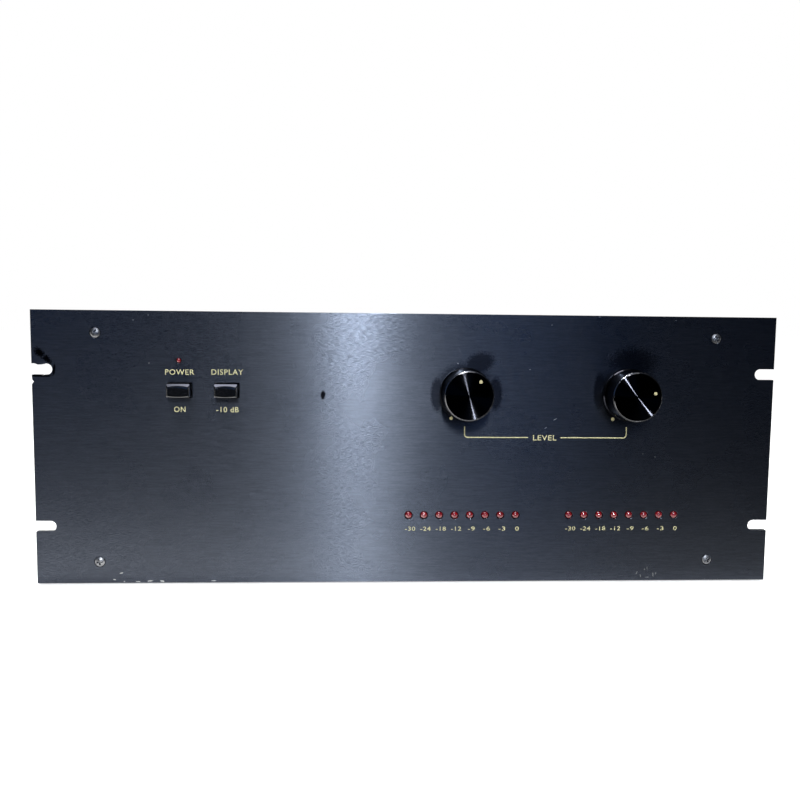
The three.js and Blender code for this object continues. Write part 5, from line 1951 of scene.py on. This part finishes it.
@dataclass
class PanelScrews:
    """Bright oval heads with a cross recess, each stopped at its own angle."""

    finish: Finishes
    radius: float = 3.15 * MM
    dome: float = 1.05 * MM
    rim: float = 0.15 * MM
    shank: float = 1.75 * MM
    head_depth: float = 1.9 * MM
    point: float = 0.4 * MM
    recess: CrossRecess = CrossRecess(dome, 4.9 * MM, 1.35 * MM, 1.9 * MM)
    # how far below the dome the grime and painted shade in the recess begin
    grime_and_shade_below: float = 0.12 * MM
    seed: int = 2037

    def head(self, length: float) -> Object:
        """One screw, height 0 at the panel's face.

        Args:
            length: from there to its point.

        Returns:
            The screw.
        """
        crown = (self.radius ** 2 + self.dome ** 2) / (2 * self.dome)
        half = math.degrees(math.asin(self.radius / crown))
        dome = arc((0, self.dome - crown), crown, 90, 90 - half, 8)
        dome[0] = (0, self.dome)
        profile = dome + [
            (self.radius, -self.rim), (self.shank, -self.head_depth), (self.shank, -length + self.point),
            (self.shank - self.point, -length), (0, -length),
        ]
        return self.recess.cut(turned("screw", profile, 48))

    def build(self) -> None:
        """Makes the four panel screws, with grime and painted shade in their recesses."""
        nodes = panel_screw_nodes()
        face = Box.of("front_panel").low.y
        source = self.head(Box.of(nodes[0]).high.y - face)
        places = [Box.of(node).middle for node in nodes]
        spots = [(place.x, face, place.z) for place in places]
        turn = (90 * DEGREE, 0.0, 0.0)
        piece = screwed("panel_screws", source, spots, turn, self.seed, self.finish.screw)
        # the recess faces take the near-black finish: grime and painted shade
        piece.data.materials.append(self.finish.grime_and_shade)
        for polygon in piece.data.polygons:
            spot = polygon.center
            away = min(math.hypot(spot.x - place.x, spot.z - place.z) for place in places)
            below = face - self.dome * (1 - (away / self.radius) ** 2) + self.grime_and_shade_below
            polygon.material_index = int(below < spot.y < face + BEYOND and away < self.recess.length / 2)
        dress(piece, CHASSIS, Slot.SCREW, self.finish.screw, *nodes)


# Sides, top, bottom and back


@dataclass
class HeatSink:
    """A finned extrusion with its output transistors on the inner face."""

    finish: Finishes
    side: str
    base: float = 6.0 * MM
    count: int = 20
    root: float = 1.5 * MM
    tip: float = 0.9 * MM
    fillet: float = 0.9 * MM
    end_margin: float = 9.0 * MM
    edge: float = 0.2 * MM
    sunk: float = 0.5 * MM
    can_count: int = 4
    can_pitch: float = 58.0 * MM
    can_height_share: float = 0.62
    can_flange_radius: float = 13.0 * MM
    can_flange: float = 1.6 * MM
    can_radius: float = 10.5 * MM
    can_length: float = 8.0 * MM
    can_soft: float = 1.2 * MM

    def fin(self, depth: float, height: float) -> Object:
        """One fin: tapered, round at its tip, with a fillet at its root.

        Args:
            depth: from the base's inner face to the tip.
            height: of the extrusion.

        Returns:
            The fin.
        """
        middle = self.base + self.fillet
        side = self.root + self.fillet
        outline = [
            (self.base - self.sunk, -side), *arc((middle, -side), self.fillet, 180, 90, 4),
            *arc((depth - self.tip, 0), self.tip, -90, 90, 8),
            *arc((middle, side), self.fillet, 270, 180, 4), (self.base - self.sunk, side),
        ]
        return sawn("fin", [outline], height, self.edge, height)

    def can(self) -> Object:
        """One power transistor in its round metal case, its back at height 0.

        Returns:
            The transistor, turned to face inwards.
        """
        low = self.can_flange
        high = low + self.can_length
        soft = self.can_soft
        profile = [
            (0, high), *arc((self.can_radius - soft, high - soft), soft, 90, 0, 4),
            (self.can_radius, low + soft / 2), (self.can_radius + soft / 2, low),
            (self.can_flange_radius, low), (self.can_flange_radius, -self.sunk), (0, -self.sunk),
        ]
        can = turned("can", profile, 40)
        can.data.transform(Matrix.Rotation(-90 * DEGREE, 4, "Y"))
        return can

    def build(self) -> None:
        """Makes one heat sink."""
        node = f"{self.side}_heatsink"
        box = Box.of(node)
        height = box.size.z
        depth = box.size.x - self.can_flange - self.can_length
        plate = rectangle((self.base / 2, 0), self.base, box.size.y)
        carrier = sawn("carrier", [plate], height, self.edge, height)
        reach = box.size.y - 2 * self.end_margin
        first, step = (0.0, -reach / 2, 0.0), (0.0, reach / (self.count - 1), 0.0)
        metal = self.finish.sink
        name = f"{self.side}_finned_sink"
        sink = in_row(name, self.fin(depth, height), self.count, first, step, metal, carrier)
        first = (0.0, -self.can_pitch * (self.can_count - 1) / 2, height * self.can_height_share)
        step = (0.0, self.can_pitch, 0.0)
        name = f"{self.side}_output_transistors"
        cans = in_row(name, self.can(), self.can_count, first, step, self.finish.plated)
        turn = Matrix.Rotation(math.pi if self.side == "left" else 0, 4, "Z")
        inner = box.high.x - depth if self.side == "right" else box.low.x + depth
        place = Matrix.Translation((inner, box.middle.y, box.low.z))
        for piece in (sink, cans):
            piece.data.transform(place @ turn)
        dress(sink, CHASSIS, Slot.SINK, metal, node)
        dress(cans, CHASSIS, Slot.PLATED, self.finish.plated)


@dataclass
class CaseTray:
    """A folded sheet-steel tray with round bends and two rows of vents: the top cover or the bottom pan."""

    finish: Finishes
    node: str
    facing: Facing
    across: int
    sheet: float = 1.6 * MM
    bend: float = 2.4 * MM
    vent_width: float = 4.0 * MM
    vent_pitch: float = 14.0 * MM
    row_gap: float = 24.0 * MM
    end_margin: float = 42.0 * MM

    def shell(self, box: Box) -> Object:
        """The folded tray without vents.

        Args:
            box: what it fills.

        Returns:
            The tray, its outer face at height 0 and its walls hanging down.
        """
        shape = bmesh.new()
        bmesh.ops.create_cube(shape, size=1)
        for vertex in shape.verts:
            vertex.co = (vertex.co.x * box.size.x, vertex.co.y * box.size.y, (vertex.co.z - 0.5) * box.size.z)
        bmesh.ops.delete(shape, geom=[f for f in shape.faces if f.normal.z < -0.5], context="FACES_ONLY")
        folds = [edge for edge in shape.edges if len(edge.link_faces) == 2]
        bmesh.ops.bevel(shape, geom=folds, offset=self.bend, segments=5, profile=0.5, affect="EDGES")
        tray = finished(shape, self.node + "_tray")
        wall = tray.modifiers.new("wall", "SOLIDIFY")
        wall.thickness = self.sheet
        wall.offset = -1
        wall.use_even_offset = True
        return settled(tray)

    def build(self) -> None:
        """Makes the tray."""
        box = Box.of(self.node)
        length = (box.size.y - 2 * self.end_margin - self.row_gap) / 2
        radius = self.vent_width / 2
        half = length / 2 - radius
        outline = arc((0, half), radius, 0, 180, 10) + arc((0, -half), radius, 180, 360, 10)
        slot = sawn("slot", [outline], 4 * self.sheet, top=2 * self.sheet)
        values = {
            "Slot": slot, "Across": self.across, "Rows": 2, "Width": self.vent_pitch * (self.across - 1),
            "Length": length + self.row_gap, "Middle": (0.0, 0.0, -self.sheet / 2),
            "Material": self.finish.paint,
        }
        tray = grown(f"{self.node}_sheet", vent_tree(), values, self.shell(box))
        bpy.data.objects.remove(slot)
        face = box.high.z if self.facing is Facing.UP else box.low.z
        stood(tray, self.facing, (box.middle.x, box.middle.y, face))
        dress(tray, CHASSIS, Slot.PAINT, self.finish.paint, self.node)


@dataclass
class CaseScrews:
    """Small black pan-head screws that hold the sheets together."""

    finish: Finishes
    radius: float = 2.9 * MM
    rise: float = 1.5 * MM
    shank: float = 1.4 * MM
    length: float = 5.0 * MM
    inset: float = 8.0 * MM
    rear_inset: float = 6.0 * MM
    sink_inset: Point = (25.0 * MM, 22.0 * MM)
    recess: CrossRecess = CrossRecess(rise, 3.2 * MM, 1.35 * MM, 1.1 * MM)
    soft: float = 0.9 * MM
    seed: int = 11

    def screw(self) -> Object:
        """One screw, height 0 under its head.

        Returns:
            The screw.
        """
        soft = self.soft
        profile = [
            (0, self.rise), *arc((self.radius - soft, self.rise - soft), soft, 90, 0, 5), (self.radius, 0),
            (self.shank, 0), (self.shank, -self.length), (0, -self.length),
        ]
        return self.recess.cut(turned("case_screw", profile, 32))

    def places(self) -> dict[str, tuple[list[Place], Place]]:
        """Finds where the screws of each sheet stand and how they are turned.

        Returns:
            The places and the turn, by the name of the piece.
        """
        cover, pan, back = Box.of("top_cover"), Box.of("chassis_pan"), Box.of("rear_panel")
        rows = (cover.low.y + self.inset, cover.high.y - self.inset)
        xs = (cover.low.x + self.inset, 0.0, cover.high.x - self.inset)
        sink = Box.of("right_heatsink")
        ends = (back.high.z - self.rear_inset, back.low.z + self.rear_inset)
        rear = [(x, back.high.y, z) for x in xs for z in ends]
        inwards, up = self.sink_inset
        ends = (sink.low.z + up, sink.high.z - up)
        rear += [(side * (sink.high.x - inwards), back.high.y, z) for side in (-1, 1) for z in ends]
        return {
            "cover_screws": ([(x, y, cover.high.z) for x in xs for y in rows], (0.0, 0.0, 0.0)),
            "pan_screws": ([(x, y, pan.low.z) for x in xs for y in rows], (math.pi, 0.0, 0.0)),
            "rear_screws": (rear, (-math.pi / 2, 0.0, 0.0)),
        }

    def build(self) -> None:
        """Makes the screws of the cover, the pan and the rear panel."""
        for name, (places, turn) in self.places().items():
            piece = screwed(name, self.screw(), places, turn, self.seed, self.finish.black_screw)
            dress(piece, CHASSIS, Slot.PAINT, self.finish.black_screw)


@dataclass(frozen=True)
class RearSpot:
    """Where a fitting sits: its lengths run outwards from the rear panel's outer face."""

    place: Place
    inner: float
    outer: float
    nut_face: float

    @classmethod
    def of(cls, node: str) -> "RearSpot":
        """Finds the place of a fitting.

        Args:
            node: the fitting's node.

        Returns:
            Its place.
        """
        box, panel = Box.of(node), Box.of("rear_panel")
        face = panel.high.y
        washer = 0.3 * MM
        place = (box.middle.x, face, box.middle.z)
        return cls(place, box.low.y - face, box.high.y - face, panel.low.y - face - washer)

    def shank(self, radius: float, nut_radius: float, nut: float) -> list[Point]:
        """Section of a threaded shank with its nut inside the panel.

        Args:
            radius: of the shank.
            nut_radius: of the nut.
            nut: the nut's thickness.

        Returns:
            The points, from the shank's inner end outwards.
        """
        low, high = self.nut_face - nut, self.nut_face
        return [(radius, self.inner), (radius, low), (nut_radius, low), (nut_radius, high), (radius, high)]


def ribbed(count: int, depth: float, least_radius: float, least_height: float) -> Flutes:
    """Makes the ribs of a cap's side.

    Args:
        count: how many ribs.
        depth: how far the side is drawn in between them.
        least_radius: what is nearer to the axis stays plain.
        least_height: what is lower stays plain.

    Returns:
        The change of a radius that turned() takes.
    """
    def side(radius: float, height: float, turn: float) -> float:
        """Radius of the ribbed side at a height and an angle."""
        groove = depth * (0.5 - 0.5 * math.cos(count * turn)) ** 2
        return radius - groove if radius > least_radius and height > least_height else radius

    return side


@dataclass
class RearPanel:
    """The flat rear sheet with its holes and the plain marks beside the sockets."""

    finish: Finishes
    jack_hole: float = 5.1 * MM
    post_hole: float = 3.0 * MM
    fuse_hole: float = 6.7 * MM
    inlet_width: float = 28.4 * MM
    inlet_height: float = 21.0 * MM
    edge: float = 0.15 * MM
    mark: float = 4.0 * MM
    plus: float = 0.8
    minus: float = 0.18
    mark_rise: float = 12.0 * MM
    mark_drop: float = 14.0 * MM
    ink: float = 0.05 * MM

    def build(self) -> None:
        """Makes the sheet and its marks."""
        box = Box.of("rear_panel")
        outlines = [rectangle((0, box.middle.z), box.size.x, box.size.z)]
        round_holes = {
            "left_input_jack": self.jack_hole, "right_input_jack": self.jack_hole,
            **{post: self.post_hole for post in BindingPost.nodes()}, "line_fuse_holder": self.fuse_hole,
        }
        for node, radius in round_holes.items():
            middle = Box.of(node).middle
            outlines.append(circle((-middle.x, middle.z), radius, 40))
        inlet = Box.of("mains_inlet").middle
        outlines.append(rectangle((-inlet.x, inlet.z), self.inlet_width, self.inlet_height))
        sheet = sawn("rear_sheet", outlines, box.size.y, self.edge)
        stood(sheet, Facing.REAR, (0, box.high.y, 0))
        dress(sheet, CHASSIS, Slot.PAINT, self.finish.paint, "rear_panel")
        marks = []
        for side, letter in zip(SIDES, "LR"):
            jack = Box.of(f"{side}_input_jack").middle
            spots = [(letter, (-jack.x, jack.z + self.mark_rise), self.mark, 0)]
            posts = [Box.of(f"{side}_{pole}_post").middle for pole in ("negative", "positive")]
            for post, sign, share in zip(posts, "-+", (self.minus, self.plus)):
                place = (-post.x, post.z + self.mark_rise)
                spots.append((sign, place, self.mark * share, self.mark * self.plus))
            between = (-(posts[0].x + posts[1].x) / 2, posts[0].z - self.mark_drop)
            spots.append((letter, between, self.mark, 0))
            marks += [
                lettered("mark", sign, high, wide, place, self.ink) for sign, place, high, wide in spots
            ]
        piece = stood(joined("rear_marks", marks), Facing.REAR, (0, box.high.y + self.ink / 2, 0))
        dress(piece, CHASSIS, Slot.GILT, self.finish.white_print)


@dataclass
class InputJack:
    """A phono socket: plated shell and nut and a plastic ring."""

    finish: Finishes
    side: str
    flange_radius: float = 7.0 * MM
    flange: float = 2.0 * MM
    barrel_radius: float = 4.15 * MM
    barrel: float = 9.0 * MM
    ring_radius: float = 3.35 * MM
    socket_radius: float = 1.65 * MM
    socket_depth: float = 8.0 * MM
    tail_radius: float = 4.6 * MM
    nut_radius: float = 6.4 * MM
    nut: float = 2.2 * MM
    ring_sunk: float = 0.4 * MM
    soft: float = 0.3 * MM

    def build(self) -> None:
        """Makes the shell and the ring."""
        node = f"{self.side}_input_jack"
        spot = RearSpot.of(node)
        soft, top = self.soft, spot.outer
        gap = top - self.flange - self.barrel
        shell = [
            (self.ring_radius, spot.inner), *spot.shank(self.tail_radius, self.nut_radius, self.nut),
            (self.tail_radius, gap), (self.flange_radius - soft, gap), (self.flange_radius, gap + soft),
            (self.flange_radius, gap + self.flange - soft), (self.flange_radius - soft, gap + self.flange),
            (self.barrel_radius, gap + self.flange), (self.barrel_radius, top - soft),
            (self.barrel_radius - soft, top), (self.ring_radius, top),
        ]
        metal = stood(turned(f"{self.side}_jack_shell", shell, 48), Facing.REAR, spot.place)
        dress(metal, CHASSIS, Slot.PLATED, self.finish.bright, node)
        lip, bottom = top - self.ring_sunk, top - self.socket_depth
        ring = [
            (0, spot.inner), (self.ring_radius, spot.inner), (self.ring_radius, lip),
            (self.socket_radius + soft, lip), (self.socket_radius, lip - soft), (self.socket_radius, bottom),
            (0, bottom),
        ]
        plastic = stood(turned(f"{self.side}_jack_ring", ring, 40), Facing.REAR, spot.place)
        colours = {"left": (Slot.MOULDED, self.finish.moulded), "right": (Slot.RED, self.finish.red)}
        dress(plastic, CHASSIS, *colours[self.side])


@dataclass
class BindingPost:
    """A loudspeaker terminal: a coloured collar and fluted cap on a plated stud."""

    finish: Finishes
    node: str
    collar_radius: float = 7.5 * MM
    collar: float = 5.0 * MM
    waist_radius: float = 3.0 * MM
    waist: float = 2.5 * MM
    cap_radius: float = 6.5 * MM
    cap: float = 16.0 * MM
    socket_radius: float = 2.0 * MM
    socket_depth: float = 14.0 * MM
    stud_radius: float = 2.5 * MM
    nut_radius: float = 6.0 * MM
    nut: float = 3.0 * MM
    flutes: int = 18
    flute_depth: float = 0.45 * MM
    soft: float = 0.8 * MM
    play: float = 0.05 * MM
    step: float = 0.5 * MM
    stud_sunk: float = 0.6 * MM

    @staticmethod
    def nodes() -> list[str]:
        """Names of the four posts."""
        return [f"{side}_{pole}_post" for side in SIDES for pole in ("negative", "positive")]

    def build(self) -> None:
        """Makes the stud, the collar and the cap."""
        spot = RearSpot.of(self.node)
        soft, top = self.soft, spot.outer
        low = top - self.cap
        waist = low - self.waist
        gap = waist - self.collar
        bottom, neck = top - self.socket_depth, waist - self.step
        end, foot = top - self.stud_sunk, waist - self.stud_sunk
        stud = [
            (0, spot.inner), *spot.shank(self.stud_radius, self.nut_radius, self.nut),
            (self.stud_radius, neck), (self.waist_radius, neck), (self.waist_radius, end),
            (self.socket_radius, end), (self.socket_radius, bottom), (0, bottom),
        ]
        metal = stood(turned(f"{self.node}_stud", stud, 40), Facing.REAR, spot.place)
        dress(metal, CHASSIS, Slot.PLATED, self.finish.bright)
        bore, wide_bore = self.stud_radius + self.play, self.waist_radius + self.play
        collar = [
            (bore, gap), (self.collar_radius, gap), (self.collar_radius, waist - soft),
            (self.collar_radius - soft, waist), (wide_bore, waist), (wide_bore, foot), (bore, foot),
        ]
        cap = [
            (wide_bore, low), (self.cap_radius - soft, low), (self.cap_radius, low + soft),
            (self.cap_radius, top - soft), (self.cap_radius - soft, top), (wide_bore, top),
        ]
        flutes = ribbed(self.flutes, self.flute_depth, self.cap_radius - soft / 2, low)
        parts = [turned("collar", collar, 64), turned("cap", cap, 6 * self.flutes, flutes)]
        plastic = stood(joined(f"{self.node}_plastic", parts), Facing.REAR, spot.place)
        red = "positive" in self.node
        slot = Slot.RED if red else Slot.MOULDED
        dress(plastic, CHASSIS, slot, self.finish.red if red else self.finish.moulded, self.node)


@dataclass
class MainsInlet:
    """A panel inlet with its shaped well and three plated pins, held by two screws."""

    finish: Finishes
    flange_width: float = 50.0 * MM
    flange_height: float = 24.0 * MM
    flange: float = 3.0 * MM
    flange_corner: float = 3.0 * MM
    body_width: float = 27.8 * MM
    body_height: float = 20.4 * MM
    well_width: float = 24.2 * MM
    well_height: float = 16.8 * MM
    well_depth: float = 17.0 * MM
    well_cut: float = 4.5 * MM
    pin_width: float = 2.0 * MM
    pin_height: float = 4.0 * MM
    pin_length: float = 10.0 * MM
    pin_pitch: float = 7.0 * MM
    pin_offset: float = 2.0 * MM
    pin_sunk: float = 0.2 * MM
    soft: float = 0.4 * MM
    pin_corner: float = 0.3 * MM
    body_corner: float = 0.6 * MM
    screw_pitch: float = 40.0 * MM
    seed: int = 3

    def housing(self, inner: float, face: float) -> Object:
        """The flange and the body behind it, with the plug's well in them.

        Args:
            inner: height of the body's inner end.
            face: height of the flange's face.

        Returns:
            The housing.
        """
        back = face - self.flange / 2
        plate = rectangle((0, 0), self.flange_width, self.flange_height, self.flange_corner)
        block = rectangle((0, 0), self.body_width, self.body_height, self.body_corner)
        flange = sawn("flange", [plate], self.flange, self.soft, face)
        housing = carved(flange, sawn("body", [block], back - inner, top=back), Carve.JOIN)
        right, up = self.well_width / 2, self.well_height / 2
        cut_right, cut_up = right - self.well_cut, up - self.well_cut
        well = [
            (-right, -up), (right, -up), (right, cut_up), (cut_right, up), (-cut_right, up), (-right, cut_up),
        ]
        depth = self.well_depth + 2 * BEYOND
        return carved(housing, sawn("well", [well], depth, top=face + 2 * BEYOND))

    def build(self) -> None:
        """Makes the housing, its pins and its screws."""
        spot = RearSpot.of("mains_inlet")
        face = spot.outer
        housing = stood(self.housing(spot.inner, face), Facing.REAR, spot.place)
        housing.name = "inlet_housing"
        dress(housing, CHASSIS, Slot.MOULDED, self.finish.moulded, "mains_inlet")
        top = face - self.well_depth - self.pin_sunk + self.pin_length
        pins = []
        for across, rise in ((-1, -1), (0, 1), (1, -1)):
            middle = (across * self.pin_pitch, rise * self.pin_offset)
            section = rectangle(middle, self.pin_width, self.pin_height, self.pin_corner)
            pins.append(sawn("pin", [section], self.pin_length, self.soft, top))
        metal = stood(joined("inlet_pins", pins), Facing.REAR, spot.place)
        dress(metal, CHASSIS, Slot.PLATED, self.finish.bright)
        x, y, z = spot.place
        spots = [(x + side * self.screw_pitch / 2, y + face, z) for side in (-1, 1)]
        turn = (-math.pi / 2, 0.0, 0.0)
        metal = self.finish.black_screw
        screw = CaseScrews(self.finish).screw()
        screws = screwed("inlet_screws", screw, spots, turn, self.seed, metal)
        dress(screws, CHASSIS, Slot.PAINT, metal)


@dataclass
class FuseHolder:
    """A panel fuse holder: a ribbed cap with a coin slot, its tube and nut inside."""

    finish: Finishes
    tube_radius: float = 6.2 * MM
    nut_radius: float = 9.0 * MM
    nut: float = 3.0 * MM
    flange_radius: float = 8.5 * MM
    flange: float = 2.0 * MM
    cap_radius: float = 6.6 * MM
    cap: float = 9.0 * MM
    slot_width: float = 1.6 * MM
    slot_depth: float = 2.0 * MM
    groove: float = 1.2 * MM
    soft: float = 0.7 * MM
    ribs: int = 20
    rib_depth: float = 0.35 * MM

    def build(self) -> None:
        """Makes the holder."""
        spot = RearSpot.of("line_fuse_holder")
        soft, top = self.soft, spot.outer
        low = top - self.cap
        gap = low - self.flange
        profile = [
            (0, spot.inner), *spot.shank(self.tube_radius, self.nut_radius, self.nut),
            (self.tube_radius, gap), (self.flange_radius, gap), (self.flange_radius, low - soft),
            (self.flange_radius - soft, low), (self.cap_radius, low), (self.cap_radius, low + self.groove),
            (self.cap_radius, top - soft), (self.cap_radius - soft, top), (0, top),
        ]
        ribs = ribbed(self.ribs, self.rib_depth, self.cap_radius - soft / 2, low + self.groove / 2)
        body = turned("fuse_cap", profile, 6 * self.ribs, ribs)
        slot = rectangle((0, 0), 4 * self.cap_radius, self.slot_width)
        tool = sawn("slot", [slot], 2 * self.slot_depth, top=top + self.slot_depth)
        body = stood(carved(body, tool), Facing.REAR, spot.place)
        dress(body, CHASSIS, Slot.MOULDED, self.finish.moulded, "line_fuse_holder")


@dataclass
class Foot:
    """A tapered rubber foot with a screw in its well."""

    finish: Finishes
    node: str
    top_radius: float = 11.0 * MM
    sole_radius: float = 9.5 * MM
    well_radius: float = 4.0 * MM
    well_depth: float = 3.2 * MM
    soft: float = 0.7 * MM
    screw_length: float = 1.0 * MM

    def build(self) -> None:
        """Makes the foot and its screw."""
        box = Box.of(self.node)
        height, soft = box.size.z, self.soft
        profile = [
            (0, self.well_depth), (self.well_radius, self.well_depth), (self.well_radius, soft / 2),
            (self.well_radius + soft / 2, 0), (self.sole_radius - soft, 0),
            *arc((self.sole_radius - soft, soft), soft, 270, 360, 4),
            (self.top_radius, height - soft), (self.top_radius - soft / 2, height), (0, height),
        ]
        place = (box.middle.x, box.middle.y, box.low.z)
        foot = stood(turned(self.node + "_rubber", profile, 64), Facing.UP, place)
        dress(foot, CHASSIS, Slot.RUBBER, self.finish.rubber, self.node)
        screw = CaseScrews(self.finish, length=self.screw_length).screw()
        screw.name = self.node + "_screw"
        stood(screw, Facing.DOWN, (box.middle.x, box.middle.y, box.low.z + self.well_depth))
        dress(screw, CHASSIS, Slot.PLATED, self.finish.bright)


def inner_nodes(finish: Finishes) -> dict[str, Material]:
    """Pairs each node whose own solid is shown with its finish.

    Args:
        finish: every finish.

    Returns:
        The materials, by the node's name.
    """
    return {
        "sub_panel": finish.paint,
        "power_switch": finish.moulded,
        "display_switch": finish.moulded,
        **{f"{side}_level_shaft": finish.bright for side in SIDES},
        **{f"{side}_level_pot": finish.plated for side in SIDES},
        "meter_board": finish.board,
        "transformer_core": finish.lamination,
        "transformer_winding": finish.wrap,
        **{f"{side}_filter_capacitor": finish.sleeve for side in SIDES},
        "capacitor_clamp": finish.plated,
        "bridge_rectifier": finish.moulded,
        **{f"{side}_amp_board": finish.board for side in SIDES},
    }


def dress_nodes(finish: Finishes) -> None:
    """Gives the solids that are shown their materials.

    Args:
        finish: every finish.
    """
    for node, material in inner_nodes(finish).items():
        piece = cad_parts[node]
        for socket in piece.material_slots:
            socket.material = material
        if not piece.material_slots:
            piece.data.materials.append(material)
        log.info("%s: dressed", node)


def main() -> None:
    """Builds the amplifier from front to back."""
    logging.basicConfig(level=logging.INFO, format="%(message)s")
    Viewpoint().build()
    Studio().build()
    finish = Finishes()
    FrontPanel(finish).build()
    for side, turn in KNOB_TURNS.items():
        LevelKnob(finish, side, turn).build()
    for use in BUTTONS:
        PushButton(finish, use).build()
    Lamps(finish).build()
    PanelScrews(finish).build()
    for side in SIDES:
        HeatSink(finish, side).build()
        InputJack(finish, side).build()
    CaseTray(finish, "top_cover", Facing.UP, across=20).build()
    CaseTray(finish, "chassis_pan", Facing.DOWN, across=6).build()
    CaseScrews(finish).build()
    RearPanel(finish).build()
    for node in BindingPost.nodes():
        BindingPost(finish, node).build()
    MainsInlet(finish).build()
    FuseHolder(finish).build()
    for node in ("front_left_foot", "front_right_foot", "rear_left_foot", "rear_right_foot"):
        Foot(finish, node).build()
    dress_nodes(finish)


if __name__ == "__main__":
    main()
